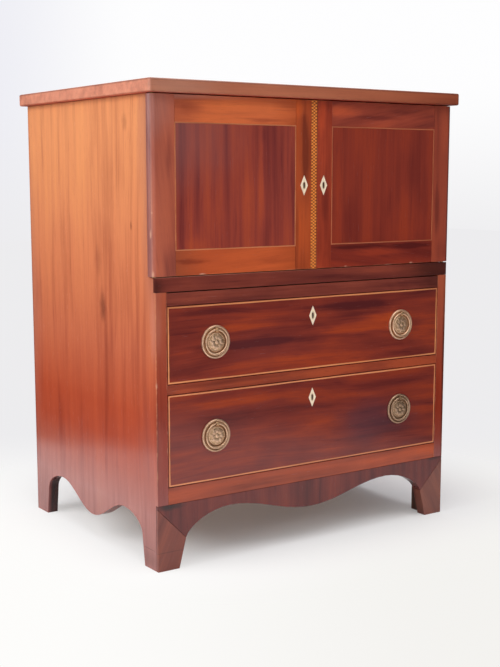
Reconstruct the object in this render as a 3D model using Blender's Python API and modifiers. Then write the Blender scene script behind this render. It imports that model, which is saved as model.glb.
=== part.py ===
"""An inlaid mahogany side cabinet with two cupboard doors over two drawers.

Metres, +Z up, the front faces -Y and +X is on the viewer's right.  The origin is on
the floor, under the middle of the top board.
"""
import math

import bmesh
import bpy
from mathutils import Matrix

# Case
CASE_WIDTH = 0.620
CASE_DEPTH = 0.462
SIDE_THICKNESS = 0.020
TOP_THICKNESS = 0.021
TOP_SIDE_OVERHANG = 0.0125
TOP_FRONT_OVERHANG = 0.011
TOP_BACK_OVERHANG = 0.009
TOP_EDGE_ROUND = 0.003
BACK_THICKNESS = 0.010
BACK_REBATE = 0.008
HOUSING_DEPTH = 0.006
LAP_THICKNESS = 0.006

# Heights of the front, from the floor up
APRON_HEIGHT = 0.1095
BOTTOM_RAIL_HEIGHT = 0.0275
LOWER_DRAWER_HEIGHT = 0.150
MIDDLE_RAIL_HEIGHT = 0.0158
UPPER_DRAWER_HEIGHT = 0.1245
UPPER_RAIL_HEIGHT = 0.0205
WAIST_GROOVE = 0.0018
WAIST_RAIL_HEIGHT = 0.023
DOOR_HEIGHT = 0.281

# Rails and boards across the case
RAIL_DEPTH = 0.055
WAIST_RAIL_DEPTH = 0.020
CUPBOARD_FLOOR_THICKNESS = 0.016
DUST_BOARD_THICKNESS = 0.012
BOTTOM_BOARD_THICKNESS = 0.014

# Shaped lower edges: widths are measured in from the outer corner of the foot
APRON_THICKNESS = 0.020
FRONT_FOOT_WIDTH = 0.040
FRONT_ANKLE_WIDTH = 0.053
FRONT_ANKLE_HEIGHT = 0.050
FRONT_PEAK_INSET = 0.140
FRONT_PEAK_HEIGHT = 0.091
FRONT_DROP_HEIGHT = 0.062
FOOT_SEAM_HEIGHT = 0.1045
SIDE_FOOT_WIDTH = 0.044
SIDE_ANKLE_WIDTH = 0.0515
SIDE_ANKLE_HEIGHT = 0.053
SIDE_PEAK_INSET = 0.114
SIDE_PEAK_HEIGHT = 0.0845
SIDE_DROP_HEIGHT = 0.0426
GLUE_BLOCK_SETBACK = 0.003

# Doors
DOOR_THICKNESS = 0.0195
DOOR_OVERHANG = 0.006
HINGE_STILE_WIDTH = 0.0435
MEETING_STILE_REACH = 0.038
DOOR_TOP_RAIL_HEIGHT = 0.042
DOOR_BOTTOM_RAIL_HEIGHT = 0.0395
DOOR_PANEL_THICKNESS = 0.012
MEETING_BAND_WIDTH = 0.0113
MEETING_BAND_THICKNESS = 0.0015
PIN_RADIUS = 0.0022
PIN_DEPTH = 0.009
PIN_COLLAR_RADIUS = 0.0036

# Bolt inside the left door, a bar that slides in a dovetailed groove
DOOR_BOLT_WIDTH = 0.010
DOOR_BOLT_FACE_WIDTH = 0.007
DOOR_BOLT_THICKNESS = 0.005
DOOR_BOLT_LENGTH = 0.075
DOOR_BOLT_FROM_CENTRE = 0.018
DOOR_BOLT_TRAVEL = 0.008
DOOR_BOLT_KNOB_RADIUS = 0.003
DOOR_BOLT_KNOB_HEIGHT = 0.007

# Locks and escutcheons
LOCK_THICKNESS = 0.010
DOOR_LOCK_WIDTH = 0.026
DOOR_LOCK_HEIGHT = 0.050
DRAWER_LOCK_WIDTH = 0.050
DRAWER_LOCK_BELOW_KEY = 0.013
BOLT_THICKNESS = 0.005
DOOR_LOCK_BOLT_HEIGHT = 0.012
DOOR_LOCK_BOLT_LENGTH = 0.018
DRAWER_LOCK_BOLT_WIDTH = 0.018
DRAWER_LOCK_BOLT_LENGTH = 0.022
BOLT_TRAVEL = 0.006
MORTISE_SPARE = 0.0008
ESCUTCHEON_WIDTH = 0.0152
ESCUTCHEON_HEIGHT = 0.033
ESCUTCHEON_THICKNESS = 0.0015
ESCUTCHEON_PROUD = 0.0003
DOOR_ESCUTCHEON_FROM_CENTRE = 0.0205
DRAWER_ESCUTCHEON_DROP = 0.0325
KEYHOLE_RADIUS = 0.0021
KEYHOLE_SLOT_WIDTH = 0.0028
KEYHOLE_LENGTH = 0.0105
DUMMY_KEYHOLE_DEPTH = 0.008

# Drawers
DRAWER_FRONT_THICKNESS = 0.020
DRAWER_SIDE_THICKNESS = 0.010
DRAWER_BACK_THICKNESS = 0.010
DRAWER_BOTTOM_THICKNESS = 0.006
DRAWER_BOTTOM_RISE = 0.008
DRAWER_GROOVE_DEPTH = 0.005
DRAWER_GROOVE_WALL = 0.002
DRAWER_SIDE_DROP = 0.005
DRAWER_BACK_DROP = 0.004
DRAWER_BACK_ROOM = 0.012
DOVETAIL_LAP = 0.006
DOVETAIL_COUNT = 3
DOVETAIL_SHARE = 0.55
DOVETAIL_SLOPE = 1 / 6

# Ring handles: a turned plate with its bolt and nut, and a ring hung from an eye
HANDLE_SPACING = 0.398
PLATE_RADIUS = 0.0273
PLATE_RIM_WIDTH = 0.0041
PLATE_RIM_HEIGHT = 0.0036
PLATE_CHANNEL_HEIGHT = 0.0015
MEDALLION_RADIUS = 0.0173
MEDALLION_HEIGHT = 0.006
RING_RADIUS = 0.0199
RING_WIRE_RADIUS = 0.0019
RING_LIFT = 0.0006
EYE_RADIUS = 0.0036
EYE_WIDTH = 0.005
EYE_CLEARANCE = 0.00045
POST_RADIUS = 0.003
NUT_RADIUS = 0.0062
NUT_THICKNESS = 0.004

# Clearances
GLUE_LINE = 0.0003
RUNNING_GAP = 0.0003
DRAWER_GAP = 0.001
DOOR_GAP = 0.0015
DOOR_REST_GAP = 0.0008
MEETING_GAP = 0.001
CUT_PAD = 0.002

# Steps of the curved outlines and of the turned pieces
SWEEP_STEPS = 10
SHOULDER_STEPS = 8
BULLNOSE_STEPS = 12
DOME_STEPS = 5
TURN_STEPS = 30
PIN_STEPS = 24
EYE_STEPS = 20
KNOB_STEPS = 16
RING_STEPS = 32
WIRE_STEPS = 10
EASE_STEPS = 3
WELD_DISTANCE = 1e-6

# Places worked out from the sizes above
HALF = CASE_WIDTH / 2
INNER = HALF - SIDE_THICKNESS
TOP_DEPTH = CASE_DEPTH + TOP_FRONT_OVERHANG + TOP_BACK_OVERHANG
FRONT = TOP_FRONT_OVERHANG - TOP_DEPTH / 2
BACK = FRONT + CASE_DEPTH
MIDDLE = (FRONT + BACK) / 2
BACK_FACE = BACK - BACK_THICKNESS
DOOR_REAR = FRONT + DOOR_THICKNESS
DRAWER_REAR = FRONT + DRAWER_FRONT_THICKNESS
DRAWER_HALF = INNER - DRAWER_GAP
LEFT_DOOR_EDGE = MEETING_BAND_WIDTH / 2
RIGHT_DOOR_EDGE = LEFT_DOOR_EDGE + MEETING_GAP
PIVOT_X = HALF + DOOR_OVERHANG - DOOR_THICKNESS / 2
PIVOT_Y = FRONT + DOOR_THICKNESS / 2


def stack(start, height):
    """A pair of levels: where a piece starts and where it ends."""
    return start, start + height


BOTTOM_RAIL = stack(APRON_HEIGHT + GLUE_LINE, BOTTOM_RAIL_HEIGHT)
LOWER_DRAWER = stack(BOTTOM_RAIL[1] + DRAWER_GAP, LOWER_DRAWER_HEIGHT)
MIDDLE_RAIL = stack(LOWER_DRAWER[1] + DRAWER_GAP, MIDDLE_RAIL_HEIGHT)
UPPER_DRAWER = stack(MIDDLE_RAIL[1] + DRAWER_GAP, UPPER_DRAWER_HEIGHT)
UPPER_RAIL = stack(UPPER_DRAWER[1] + DRAWER_GAP, UPPER_RAIL_HEIGHT)
WAIST_RAIL = stack(UPPER_RAIL[1] + WAIST_GROOVE, WAIST_RAIL_HEIGHT)
DOOR = stack(WAIST_RAIL[1] + DOOR_GAP, DOOR_HEIGHT)
CASE_TOP = DOOR[1] + DOOR_GAP
DOOR_MIDDLE = (DOOR[0] + DOOR[1]) / 2

# How a flat outline stands: drawn in plan, on the front, or on the side of the case
IN_PLAN = (0.0, 0.0, 0.0)
ON_FRONT = (math.pi / 2, 0.0, 0.0)
ON_SIDE = (math.pi / 2, 0.0, math.pi / 2)

# Colour, roughness and metallic value of each finish
SIDE_WOOD = ((0.50, 0.20, 0.10), 0.35, 0.0)
FRAME_WOOD = ((0.34, 0.11, 0.06), 0.32, 0.0)
FIGURED_WOOD = ((0.17, 0.035, 0.025), 0.28, 0.0)
INNER_WOOD = ((0.45, 0.30, 0.17), 0.65, 0.0)
INLAY_WOOD = ((0.62, 0.36, 0.18), 0.4, 0.0)
BONE = ((0.90, 0.80, 0.62), 0.35, 0.0)
BRASS = ((0.55, 0.42, 0.22), 0.35, 1.0)
IRON = ((0.20, 0.19, 0.18), 0.5, 1.0)

for leftover in list(bpy.data.objects):
    bpy.data.objects.remove(leftover, do_unlink=True)

PARTS = bpy.data.collections.new("side_cabinet")
CUTTERS = bpy.data.collections.new("side_cabinet_cutters")
bpy.context.scene.collection.children.link(PARTS)
bpy.context.scene.collection.children.link(CUTTERS)


def place(name, mesh, location=(0.0, 0.0, 0.0), rotation=IN_PLAN):
    """Put a mesh into the cabinet's collection as a named piece."""
    piece = bpy.data.objects.new(name, mesh)
    piece.location = location
    piece.rotation_euler = rotation
    PARTS.objects.link(piece)
    return piece


def finish(piece, look):
    """Give a piece its own material from a colour, roughness and metallic value."""
    colour, roughness, metallic = look
    material = bpy.data.materials.new(piece.name + "_finish")
    material.use_nodes = True
    shader = material.node_tree.nodes["Principled BSDF"]
    shader.inputs["Base Color"].default_value = (*colour, 1.0)
    shader.inputs["Roughness"].default_value = roughness
    shader.inputs["Metallic"].default_value = metallic
    piece.data.materials.append(material)
    return piece


def box(name, x, y, z):
    """A board between two places along each axis, given in either order."""
    spans = [sorted(span) for span in (x, y, z)]
    size = [high - low for low, high in spans]
    middle = [(low + high) / 2 for low, high in spans]
    shape = bmesh.new()
    bmesh.ops.create_cube(shape, size=1.0, matrix=Matrix.Diagonal((*size, 1.0)))
    mesh = bpy.data.meshes.new(name)
    shape.to_mesh(mesh)
    shape.free()
    return place(name, mesh, middle)


def rod(name, radius, length, location, rotation=IN_PLAN, steps=PIN_STEPS):
    """A round bar along its own Z, centred on a place."""
    shape = bmesh.new()
    bmesh.ops.create_cone(shape, cap_ends=True, segments=steps,
                          radius1=radius, radius2=radius, depth=length)
    mesh = bpy.data.meshes.new(name)
    shape.to_mesh(mesh)
    shape.free()
    return place(name, mesh, location, rotation)


def slab(name, points, thickness, location, rotation=IN_PLAN):
    """A flat outline with a thickness, centred on a place along its own Z."""
    curve = bpy.data.curves.new(name, "CURVE")
    curve.dimensions = "2D"
    curve.fill_mode = "BOTH"
    curve.extrude = thickness / 2
    spline = curve.splines.new("POLY")
    spline.points.add(len(points) - 1)
    for point, (u, v) in zip(spline.points, points):
        point.co = (u, v, 0.0, 1.0)
    spline.use_cyclic_u = True
    drawn = place(name, curve, location, rotation)
    bpy.context.view_layer.update()
    stand = drawn.matrix_world.copy()
    graph = bpy.context.evaluated_depsgraph_get()
    mesh = bpy.data.meshes.new_from_object(drawn.evaluated_get(graph))
    bpy.data.objects.remove(drawn, do_unlink=True)
    weld(mesh)
    piece = place(name, mesh)
    piece.matrix_world = stand
    return piece


def weld(mesh):
    """Close the loose caps of a mesh made from a curve."""
    shape = bmesh.new()
    shape.from_mesh(mesh)
    bmesh.ops.remove_doubles(shape, verts=shape.verts, dist=WELD_DISTANCE)
    bmesh.ops.recalc_face_normals(shape, faces=shape.faces)
    shape.to_mesh(mesh)
    shape.free()


def turned(name, profile, location, rotation=IN_PLAN, steps=TURN_STEPS):
    """A profile of radius and height, listed from the top down, turned about its own Z."""
    mesh = bpy.data.meshes.new(name)
    points = [(radius, 0.0, height) for radius, height in profile]
    edges = [(i, i + 1) for i in range(len(points) - 1)]
    mesh.from_pydata(points, edges, [])
    piece = place(name, mesh, location, rotation)
    screw = piece.modifiers.new("turn", "SCREW")
    screw.steps = steps
    screw.render_steps = steps
    screw.use_merge_vertices = True
    screw.merge_threshold = WELD_DISTANCE
    screw.use_smooth_shade = True
    return piece


def cutter(piece):
    """Turn a piece into a hidden cutter."""
    PARTS.objects.unlink(piece)
    CUTTERS.objects.link(piece)
    piece.hide_render = True
    piece.display_type = "WIRE"
    return piece


def combine(piece, tool, operation):
    """Cut a hidden tool out of a piece, or join it to the piece."""
    boolean = piece.modifiers.new(tool.name, "BOOLEAN")
    boolean.operation = operation
    boolean.solver = "EXACT"
    boolean.object = tool
    return piece


def cut(piece, tool):
    """Cut a new hidden tool out of a piece."""
    return combine(piece, cutter(tool), "DIFFERENCE")


def join(piece, tool):
    """Join a new hidden tool to a piece."""
    return combine(piece, cutter(tool), "UNION")


def carry(name, location, pieces):
    """Hang pieces on an empty that stands on their joint's axis."""
    axis = bpy.data.objects.new(name, None)
    axis.location = location
    PARTS.objects.link(axis)
    for piece in pieces:
        piece.parent = axis
        piece.matrix_parent_inverse = Matrix.Translation(location).inverted()


def words(sign):
    """The name of the left or the right hand."""
    return "left" if sign < 0 else "right"


def shaped_edge(half_span, foot, ankle, ankle_height, peak_inset, peak_height, drop_height):
    """Half of a shaped lower edge, from the middle of the board out to the floor.

    A raised cosine climbs from the middle drop to the arch, a cubic bends from the arch
    into the ankle, and the leg runs straight from the ankle to the floor.
    """
    peak = half_span - peak_inset
    ankle_u = half_span - ankle
    foot_u = half_span - foot
    edge = []
    for i in range(SWEEP_STEPS):
        share = (1 - math.cos(math.pi * i / SWEEP_STEPS)) / 2
        edge.append((peak * i / SWEEP_STEPS, drop_height + (peak_height - drop_height) * share))
    first = (peak, peak_height)
    second = (peak + (ankle_u - peak) / 2, peak_height)
    third = (ankle_u - (foot_u - ankle_u) / 3, ankle_height * 4 / 3)
    last = (ankle_u, ankle_height)
    for i in range(SHOULDER_STEPS + 1):
        t = i / SHOULDER_STEPS
        weights = ((1 - t) ** 3, 3 * t * (1 - t) ** 2, 3 * t * t * (1 - t), t ** 3)
        corners = (first, second, third, last)
        edge.append(tuple(sum(w * c[k] for w, c in zip(weights, corners)) for k in (0, 1)))
    edge.append((foot_u, 0.0))
    return edge


def mirrored(edge):
    """The whole edge from one floor point to the other, from its outer half."""
    return [(-u, v) for u, v in reversed(edge[1:])] + edge


def make_top():
    """Top board with eased edges, bored for the upper door pins and the door bolt."""
    half_width = HALF + TOP_SIDE_OVERHANG
    top = box("top_board", (-half_width, half_width), (-TOP_DEPTH / 2, TOP_DEPTH / 2),
              (CASE_TOP, CASE_TOP + TOP_THICKNESS))
    ease = top.modifiers.new("eased_edges", "BEVEL")
    ease.width = TOP_EDGE_ROUND
    ease.segments = EASE_STEPS
    for sign in (-1, 1):
        bore(top, sign, CASE_TOP, CASE_TOP + PIN_DEPTH, "top_bore_" + words(sign))
    slot = DOOR_BOLT_WIDTH / 2 + MORTISE_SPARE
    low, high = DOOR_REAR - DOOR_BOLT_THICKNESS, DOOR_REAR
    cut(top, box("top_bolt_mortise",
                 (-DOOR_BOLT_FROM_CENTRE - slot, -DOOR_BOLT_FROM_CENTRE + slot),
                 (low - MORTISE_SPARE, high + MORTISE_SPARE),
                 (CASE_TOP - CUT_PAD, CASE_TOP + DOOR_BOLT_TRAVEL + MORTISE_SPARE)))
    finish(top, FRAME_WOOD)


def bore(piece, sign, mouth, deep_end, name):
    """A blind hole for a door pin, from the face that the door turns against."""
    way = 1 if deep_end > mouth else -1
    start = mouth - way * CUT_PAD
    end = deep_end + way * GLUE_LINE
    cut(piece, rod(name, PIN_RADIUS + RUNNING_GAP, abs(end - start),
                   (sign * PIVOT_X, PIVOT_Y, (start + end) / 2)))


def make_side(sign):
    """Side board: one plank to the floor, set back behind the door and cut for its neighbours."""
    name = "side_" + words(sign)
    lower = mirrored(shaped_edge(CASE_DEPTH / 2, SIDE_FOOT_WIDTH, SIDE_ANKLE_WIDTH,
                                 SIDE_ANKLE_HEIGHT, SIDE_PEAK_INSET, SIDE_PEAK_HEIGHT,
                                 SIDE_DROP_HEIGHT))
    head = CASE_TOP - GLUE_LINE
    step = DOOR_REAR + DOOR_REST_GAP
    outline = [(FRONT, 0.0)] + [(MIDDLE + u, v) for u, v in lower]
    outline += [(BACK, 0.0), (BACK, head), (step, head), (step, WAIST_RAIL[1]), (FRONT, WAIST_RAIL[1])]
    side = slab(name, outline, SIDE_THICKNESS, (sign * (HALF - SIDE_THICKNESS / 2), 0.0, 0.0), ON_SIDE)
    across = (sign * (INNER - CUT_PAD), sign * (HALF + CUT_PAD))
    lap = (FRONT - CUT_PAD, FRONT + LAP_THICKNESS + GLUE_LINE)
    cut(side, box(name + "_apron_lap", across, lap, (-CUT_PAD, BOTTOM_RAIL[0])))
    cut(side, box(name + "_waist_lap", across, lap, (WAIST_RAIL[0] - GLUE_LINE, WAIST_RAIL[1] + CUT_PAD)))
    cut(side, box(name + "_back_rebate",
                  (sign * (INNER - CUT_PAD), sign * (INNER + BACK_REBATE)),
                  (BACK_FACE - GLUE_LINE, BACK + CUT_PAD),
                  (BOTTOM_RAIL[0] - GLUE_LINE, CASE_TOP + CUT_PAD)))
    housing = (sign * (INNER - CUT_PAD), sign * (INNER + HOUSING_DEPTH))
    for word, start, levels in BOARDS:
        cut(side, box(name + "_" + word + "_housing", housing,
                      (start, BACK_FACE), (levels[0] - GLUE_LINE, levels[1] + GLUE_LINE)))
    bore(side, sign, WAIST_RAIL[1], WAIST_RAIL[1] - PIN_DEPTH, name + "_pin_bore")
    finish(side, SIDE_WOOD)


# Boards housed across the case: name, front edge and levels
BOARDS = (
    ("cupboard_floor", FRONT + WAIST_RAIL_DEPTH,
     (WAIST_RAIL[1] - CUPBOARD_FLOOR_THICKNESS, WAIST_RAIL[1])),
    ("dust_board", FRONT + RAIL_DEPTH, (MIDDLE_RAIL[1] - DUST_BOARD_THICKNESS, MIDDLE_RAIL[1])),
    ("bottom_board", FRONT + RAIL_DEPTH, (BOTTOM_RAIL[1] - BOTTOM_BOARD_THICKNESS, BOTTOM_RAIL[1])),
)


def make_boards():
    """Back panel in the rebates, and the boards housed between the sides."""
    back_half = INNER + BACK_REBATE - GLUE_LINE
    finish(box("back_panel", (-back_half, back_half), (BACK_FACE, BACK),
               (BOTTOM_RAIL[0], CASE_TOP - GLUE_LINE)), INNER_WOOD)
    half = INNER + HOUSING_DEPTH - GLUE_LINE
    for name, start, levels in BOARDS:
        finish(box(name, (-half, half), (start + GLUE_LINE, BACK_FACE - GLUE_LINE), levels), INNER_WOOD)


def make_rails():
    """Waist rail lapped over the sides, and the drawer rails between the sides."""
    between = INNER - GLUE_LINE
    plan = [(-HALF, 0.0), (HALF, 0.0), (HALF, LAP_THICKNESS), (between, LAP_THICKNESS),
            (between, WAIST_RAIL_DEPTH), (-between, WAIST_RAIL_DEPTH),
            (-between, LAP_THICKNESS), (-HALF, LAP_THICKNESS)]
    finish(slab("waist_rail", plan, WAIST_RAIL_HEIGHT, (0.0, FRONT, sum(WAIST_RAIL) / 2)), FRAME_WOOD)
    rails = (("upper_rail", UPPER_RAIL), ("middle_rail", MIDDLE_RAIL), ("bottom_rail", BOTTOM_RAIL))
    for name, levels in rails:
        rail = box(name, (-between, between), (FRONT, FRONT + RAIL_DEPTH), levels)
        if name != "bottom_rail":
            wide = DRAWER_LOCK_BOLT_WIDTH / 2 + MORTISE_SPARE
            cut(rail, box(name + "_mortise", (-wide, wide), bolt_depth(DRAWER_REAR, MORTISE_SPARE),
                          (levels[0] - CUT_PAD, levels[0] + BOLT_TRAVEL)))
        finish(rail, FRAME_WOOD)


def bolt_depth(rear, spare):
    """Where a lock bolt lies between the faces of its lock, with a clearance each way."""
    middle = rear - LOCK_THICKNESS / 2
    reach = BOLT_THICKNESS / 2 + spare
    return middle - reach, middle + reach


def make_apron():
    """Front apron, its two foot facings and the glue blocks behind the feet."""
    edge = shaped_edge(HALF, FRONT_FOOT_WIDTH, FRONT_ANKLE_WIDTH, FRONT_ANKLE_HEIGHT,
                       FRONT_PEAK_INSET, FRONT_PEAK_HEIGHT, FRONT_DROP_HEIGHT)
    ankle, foot = edge[-2], edge[-1]
    deep = FRONT + APRON_THICKNESS / 2
    outline = [(-HALF, APRON_HEIGHT), (-HALF, FOOT_SEAM_HEIGHT)] + mirrored(edge[:-1])
    outline += [(HALF, FOOT_SEAM_HEIGHT), (HALF, APRON_HEIGHT)]
    apron = slab("front_apron", outline, APRON_THICKNESS, (0.0, deep, 0.0), ON_FRONT)
    run, rise = HALF - ankle[0], FOOT_SEAM_HEIGHT - ankle[1]
    seam_drop = GLUE_LINE * math.hypot(run, rise) / run
    along = seam_drop / (ankle[1] + rise / run * (foot[0] - ankle[0]))
    heel = (ankle[0] + along * (foot[0] - ankle[0]), ankle[1] * (1 - along))
    for sign in (-1, 1):
        corners = [(HALF, FOOT_SEAM_HEIGHT - seam_drop), heel, foot, (HALF, 0.0)]
        facing = slab("foot_facing_" + words(sign), [(sign * u, v) for u, v in corners],
                      APRON_THICKNESS, (0.0, deep, 0.0), ON_FRONT)
        for piece in (apron, facing):
            cut(piece, box(piece.name + "_lap_" + words(sign),
                           (sign * (INNER - GLUE_LINE), sign * (HALF + CUT_PAD)),
                           (FRONT + LAP_THICKNESS, FRONT + APRON_THICKNESS + CUT_PAD),
                           (-CUT_PAD, APRON_HEIGHT + CUT_PAD)))
        finish(facing, FIGURED_WOOD)
        inward = HALF - FRONT_FOOT_WIDTH + GLUE_BLOCK_SETBACK
        finish(box("glue_block_" + words(sign), (sign * inward, sign * (INNER - GLUE_LINE)),
                   (FRONT + APRON_THICKNESS + GLUE_LINE, FRONT + SIDE_FOOT_WIDTH - GLUE_BLOCK_SETBACK),
                   (GLUE_BLOCK_SETBACK, APRON_HEIGHT)), INNER_WOOD)
    finish(apron, FIGURED_WOOD)


def make_pins(sign):
    """The two pins a door turns on, each with a collar that keeps the door off its neighbour."""
    for word, door_end, case_end in (("top", DOOR[1], CASE_TOP), ("bottom", DOOR[0], WAIST_RAIL[1])):
        low, high = sorted((door_end, case_end))
        profile = [(0.0, high + PIN_DEPTH), (PIN_RADIUS, high + PIN_DEPTH),
                   (PIN_RADIUS, high - GLUE_LINE), (PIN_COLLAR_RADIUS, high - GLUE_LINE),
                   (PIN_COLLAR_RADIUS, low + GLUE_LINE), (PIN_RADIUS, low + GLUE_LINE),
                   (PIN_RADIUS, low - PIN_DEPTH), (0.0, low - PIN_DEPTH)]
        finish(turned("pivot_" + words(sign) + "_" + word, profile,
                      (sign * PIVOT_X, PIVOT_Y, 0.0), steps=PIN_STEPS), BRASS)


def bullnose(sign):
    """Plan of a hinge stile: a half round outer edge about the pin, and a square inner edge."""
    radius = DOOR_THICKNESS / 2
    inner = HALF + DOOR_OVERHANG - HINGE_STILE_WIDTH
    plan = [(sign * inner, DOOR_REAR), (sign * inner, FRONT)]
    for i in range(BULLNOSE_STEPS + 1):
        angle = math.pi * (i / BULLNOSE_STEPS - 0.5)
        plan.append((sign * (PIVOT_X + radius * math.cos(angle)), PIVOT_Y + radius * math.sin(angle)))
    return plan


def lozenge(grow):
    """Outline of an escutcheon, with each edge moved out by the same amount."""
    half_width, half_height = ESCUTCHEON_WIDTH / 2, ESCUTCHEON_HEIGHT / 2
    scale = 1 + grow * math.hypot(1 / half_width, 1 / half_height)
    return [(half_width * scale, 0.0), (0.0, half_height * scale),
            (-half_width * scale, 0.0), (0.0, -half_height * scale)]


def keyhole():
    """Outline of a keyhole: most of a circle above a narrow slot."""
    half_slot = KEYHOLE_SLOT_WIDTH / 2
    rise = KEYHOLE_LENGTH / 2 - KEYHOLE_RADIUS
    opening = math.asin(half_slot / KEYHOLE_RADIUS)
    points = [(-half_slot, -KEYHOLE_LENGTH / 2), (half_slot, -KEYHOLE_LENGTH / 2)]
    for i in range(BULLNOSE_STEPS + 1):
        angle = opening - math.pi / 2 + (2 * math.pi - 2 * opening) * i / BULLNOSE_STEPS
        points.append((KEYHOLE_RADIUS * math.cos(angle), rise + KEYHOLE_RADIUS * math.sin(angle)))
    return points


def fit_escutcheon(board, name, x, z, keyhole_end):
    """Let a bone plate into a board and cut the keyhole through both."""
    floor = FRONT + ESCUTCHEON_THICKNESS - ESCUTCHEON_PROUD
    plate = slab(name, lozenge(0.0), ESCUTCHEON_THICKNESS,
                 (x, floor - ESCUTCHEON_THICKNESS / 2, z), ON_FRONT)
    recess = ESCUTCHEON_THICKNESS + GLUE_LINE + CUT_PAD
    cut(board, slab(name + "_recess", lozenge(GLUE_LINE), recess,
                    (x, floor + GLUE_LINE - recess / 2, z), ON_FRONT))
    length = keyhole_end - FRONT + CUT_PAD
    hole = cutter(slab(name + "_keyhole", keyhole(), length, (x, keyhole_end - length / 2, z), ON_FRONT))
    combine(board, hole, "DIFFERENCE")
    combine(plate, hole, "DIFFERENCE")
    return finish(plate, BONE)


def make_door(sign):
    """A framed door with a flush panel; returns its pieces."""
    name = "door_" + words(sign)
    depth = (FRONT, DOOR_REAR)
    inner = HALF + DOOR_OVERHANG - HINGE_STILE_WIDTH - GLUE_LINE
    reach = MEETING_STILE_REACH + GLUE_LINE
    edge = RIGHT_DOOR_EDGE if sign > 0 else -LEFT_DOOR_EDGE
    hinge_stile = slab(name + "_hinge_stile", bullnose(sign), DOOR_HEIGHT, (0.0, 0.0, DOOR_MIDDLE))
    bore(hinge_stile, sign, DOOR[1], DOOR[1] - PIN_DEPTH, name + "_top_bore")
    bore(hinge_stile, sign, DOOR[0], DOOR[0] + PIN_DEPTH, name + "_bottom_bore")
    meeting_stile = box(name + "_meeting_stile", (sign * edge, sign * MEETING_STILE_REACH), depth, DOOR)
    across = (sign * reach, sign * inner)
    sill = DOOR[0] + DOOR_BOTTOM_RAIL_HEIGHT
    lintel = DOOR[1] - DOOR_TOP_RAIL_HEIGHT
    bottom_rail = box(name + "_bottom_rail", across, depth, (DOOR[0], sill))
    top_rail = box(name + "_top_rail", across, depth, (lintel, DOOR[1]))
    panel = box(name + "_panel", across, (FRONT, FRONT + DOOR_PANEL_THICKNESS),
                (sill + GLUE_LINE, lintel - GLUE_LINE))
    for piece in (hinge_stile, meeting_stile, bottom_rail, top_rail):
        finish(piece, FRAME_WOOD)
    finish(panel, FIGURED_WOOD)
    lock_face = DOOR_REAR - LOCK_THICKNESS
    end = lock_face if sign > 0 else FRONT + DUMMY_KEYHOLE_DEPTH
    plate = fit_escutcheon(meeting_stile, name + "_escutcheon",
                           sign * DOOR_ESCUTCHEON_FROM_CENTRE, DOOR_MIDDLE, end)
    return [hinge_stile, meeting_stile, bottom_rail, top_rail, panel, plate]


def make_left_door():
    """Left door, with the chequered band at its edge and a bolt that slides up into the top."""
    pieces = make_door(-1)
    stile = pieces[1]
    band_x = (-MEETING_BAND_WIDTH / 2, LEFT_DOOR_EDGE)
    band = box("meeting_band", band_x, (FRONT, FRONT + MEETING_BAND_THICKNESS), DOOR)
    cut(stile, box("meeting_band_rebate", (band_x[0] - GLUE_LINE, band_x[1] + CUT_PAD),
                   (FRONT - CUT_PAD, FRONT + MEETING_BAND_THICKNESS + GLUE_LINE),
                   (DOOR[0] - CUT_PAD, DOOR[1] + CUT_PAD)))
    finish(band, INLAY_WOOD)
    high = DOOR_LOCK_BOLT_HEIGHT / 2 + MORTISE_SPARE
    cut(stile, box("lock_bolt_mortise",
                   (RIGHT_DOOR_EDGE - BOLT_TRAVEL - MORTISE_SPARE, LEFT_DOOR_EDGE + CUT_PAD),
                   bolt_depth(DOOR_REAR, MORTISE_SPARE), (DOOR_MIDDLE - high, DOOR_MIDDLE + high)))
    head = DOOR[1] - GLUE_LINE
    foot = head - DOOR_BOLT_LENGTH
    groove_foot, groove_head = foot - GLUE_LINE, DOOR[1] + CUT_PAD
    cut(stile, slab("door_bolt_groove", door_bolt_plan(GLUE_LINE, CUT_PAD), groove_head - groove_foot,
                    (0.0, 0.0, (groove_foot + groove_head) / 2)))
    bolt = slab("left_door_bolt", door_bolt_plan(0.0, 0.0), DOOR_BOLT_LENGTH, (0.0, 0.0, (foot + head) / 2))
    knob_root = DOOR_REAR - DOOR_BOLT_THICKNESS / 2
    knob_end = DOOR_REAR + DOOR_BOLT_KNOB_HEIGHT
    join(bolt, rod("door_bolt_knob", DOOR_BOLT_KNOB_RADIUS, knob_end - knob_root,
                   (-DOOR_BOLT_FROM_CENTRE, (knob_root + knob_end) / 2, foot + DOOR_BOLT_WIDTH),
                   ON_FRONT, steps=KNOB_STEPS))
    finish(bolt, BRASS)
    carry("door_left_axis", (-PIVOT_X, PIVOT_Y, DOOR_MIDDLE), pieces + [band, bolt])


def door_bolt_plan(grow, overshoot):
    """Plan of the dovetailed bolt bar, wide inside and narrow at the face of the stile."""
    face = DOOR_REAR + overshoot
    root = DOOR_REAR - DOOR_BOLT_THICKNESS - grow
    taper = (DOOR_BOLT_WIDTH - DOOR_BOLT_FACE_WIDTH) / 2 / DOOR_BOLT_THICKNESS
    wide = DOOR_BOLT_WIDTH / 2 + grow * (1 + taper)
    narrow = wide - taper * (face - root)
    centre = -DOOR_BOLT_FROM_CENTRE
    return [(centre - wide, root), (centre + wide, root), (centre + narrow, face), (centre - narrow, face)]


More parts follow.
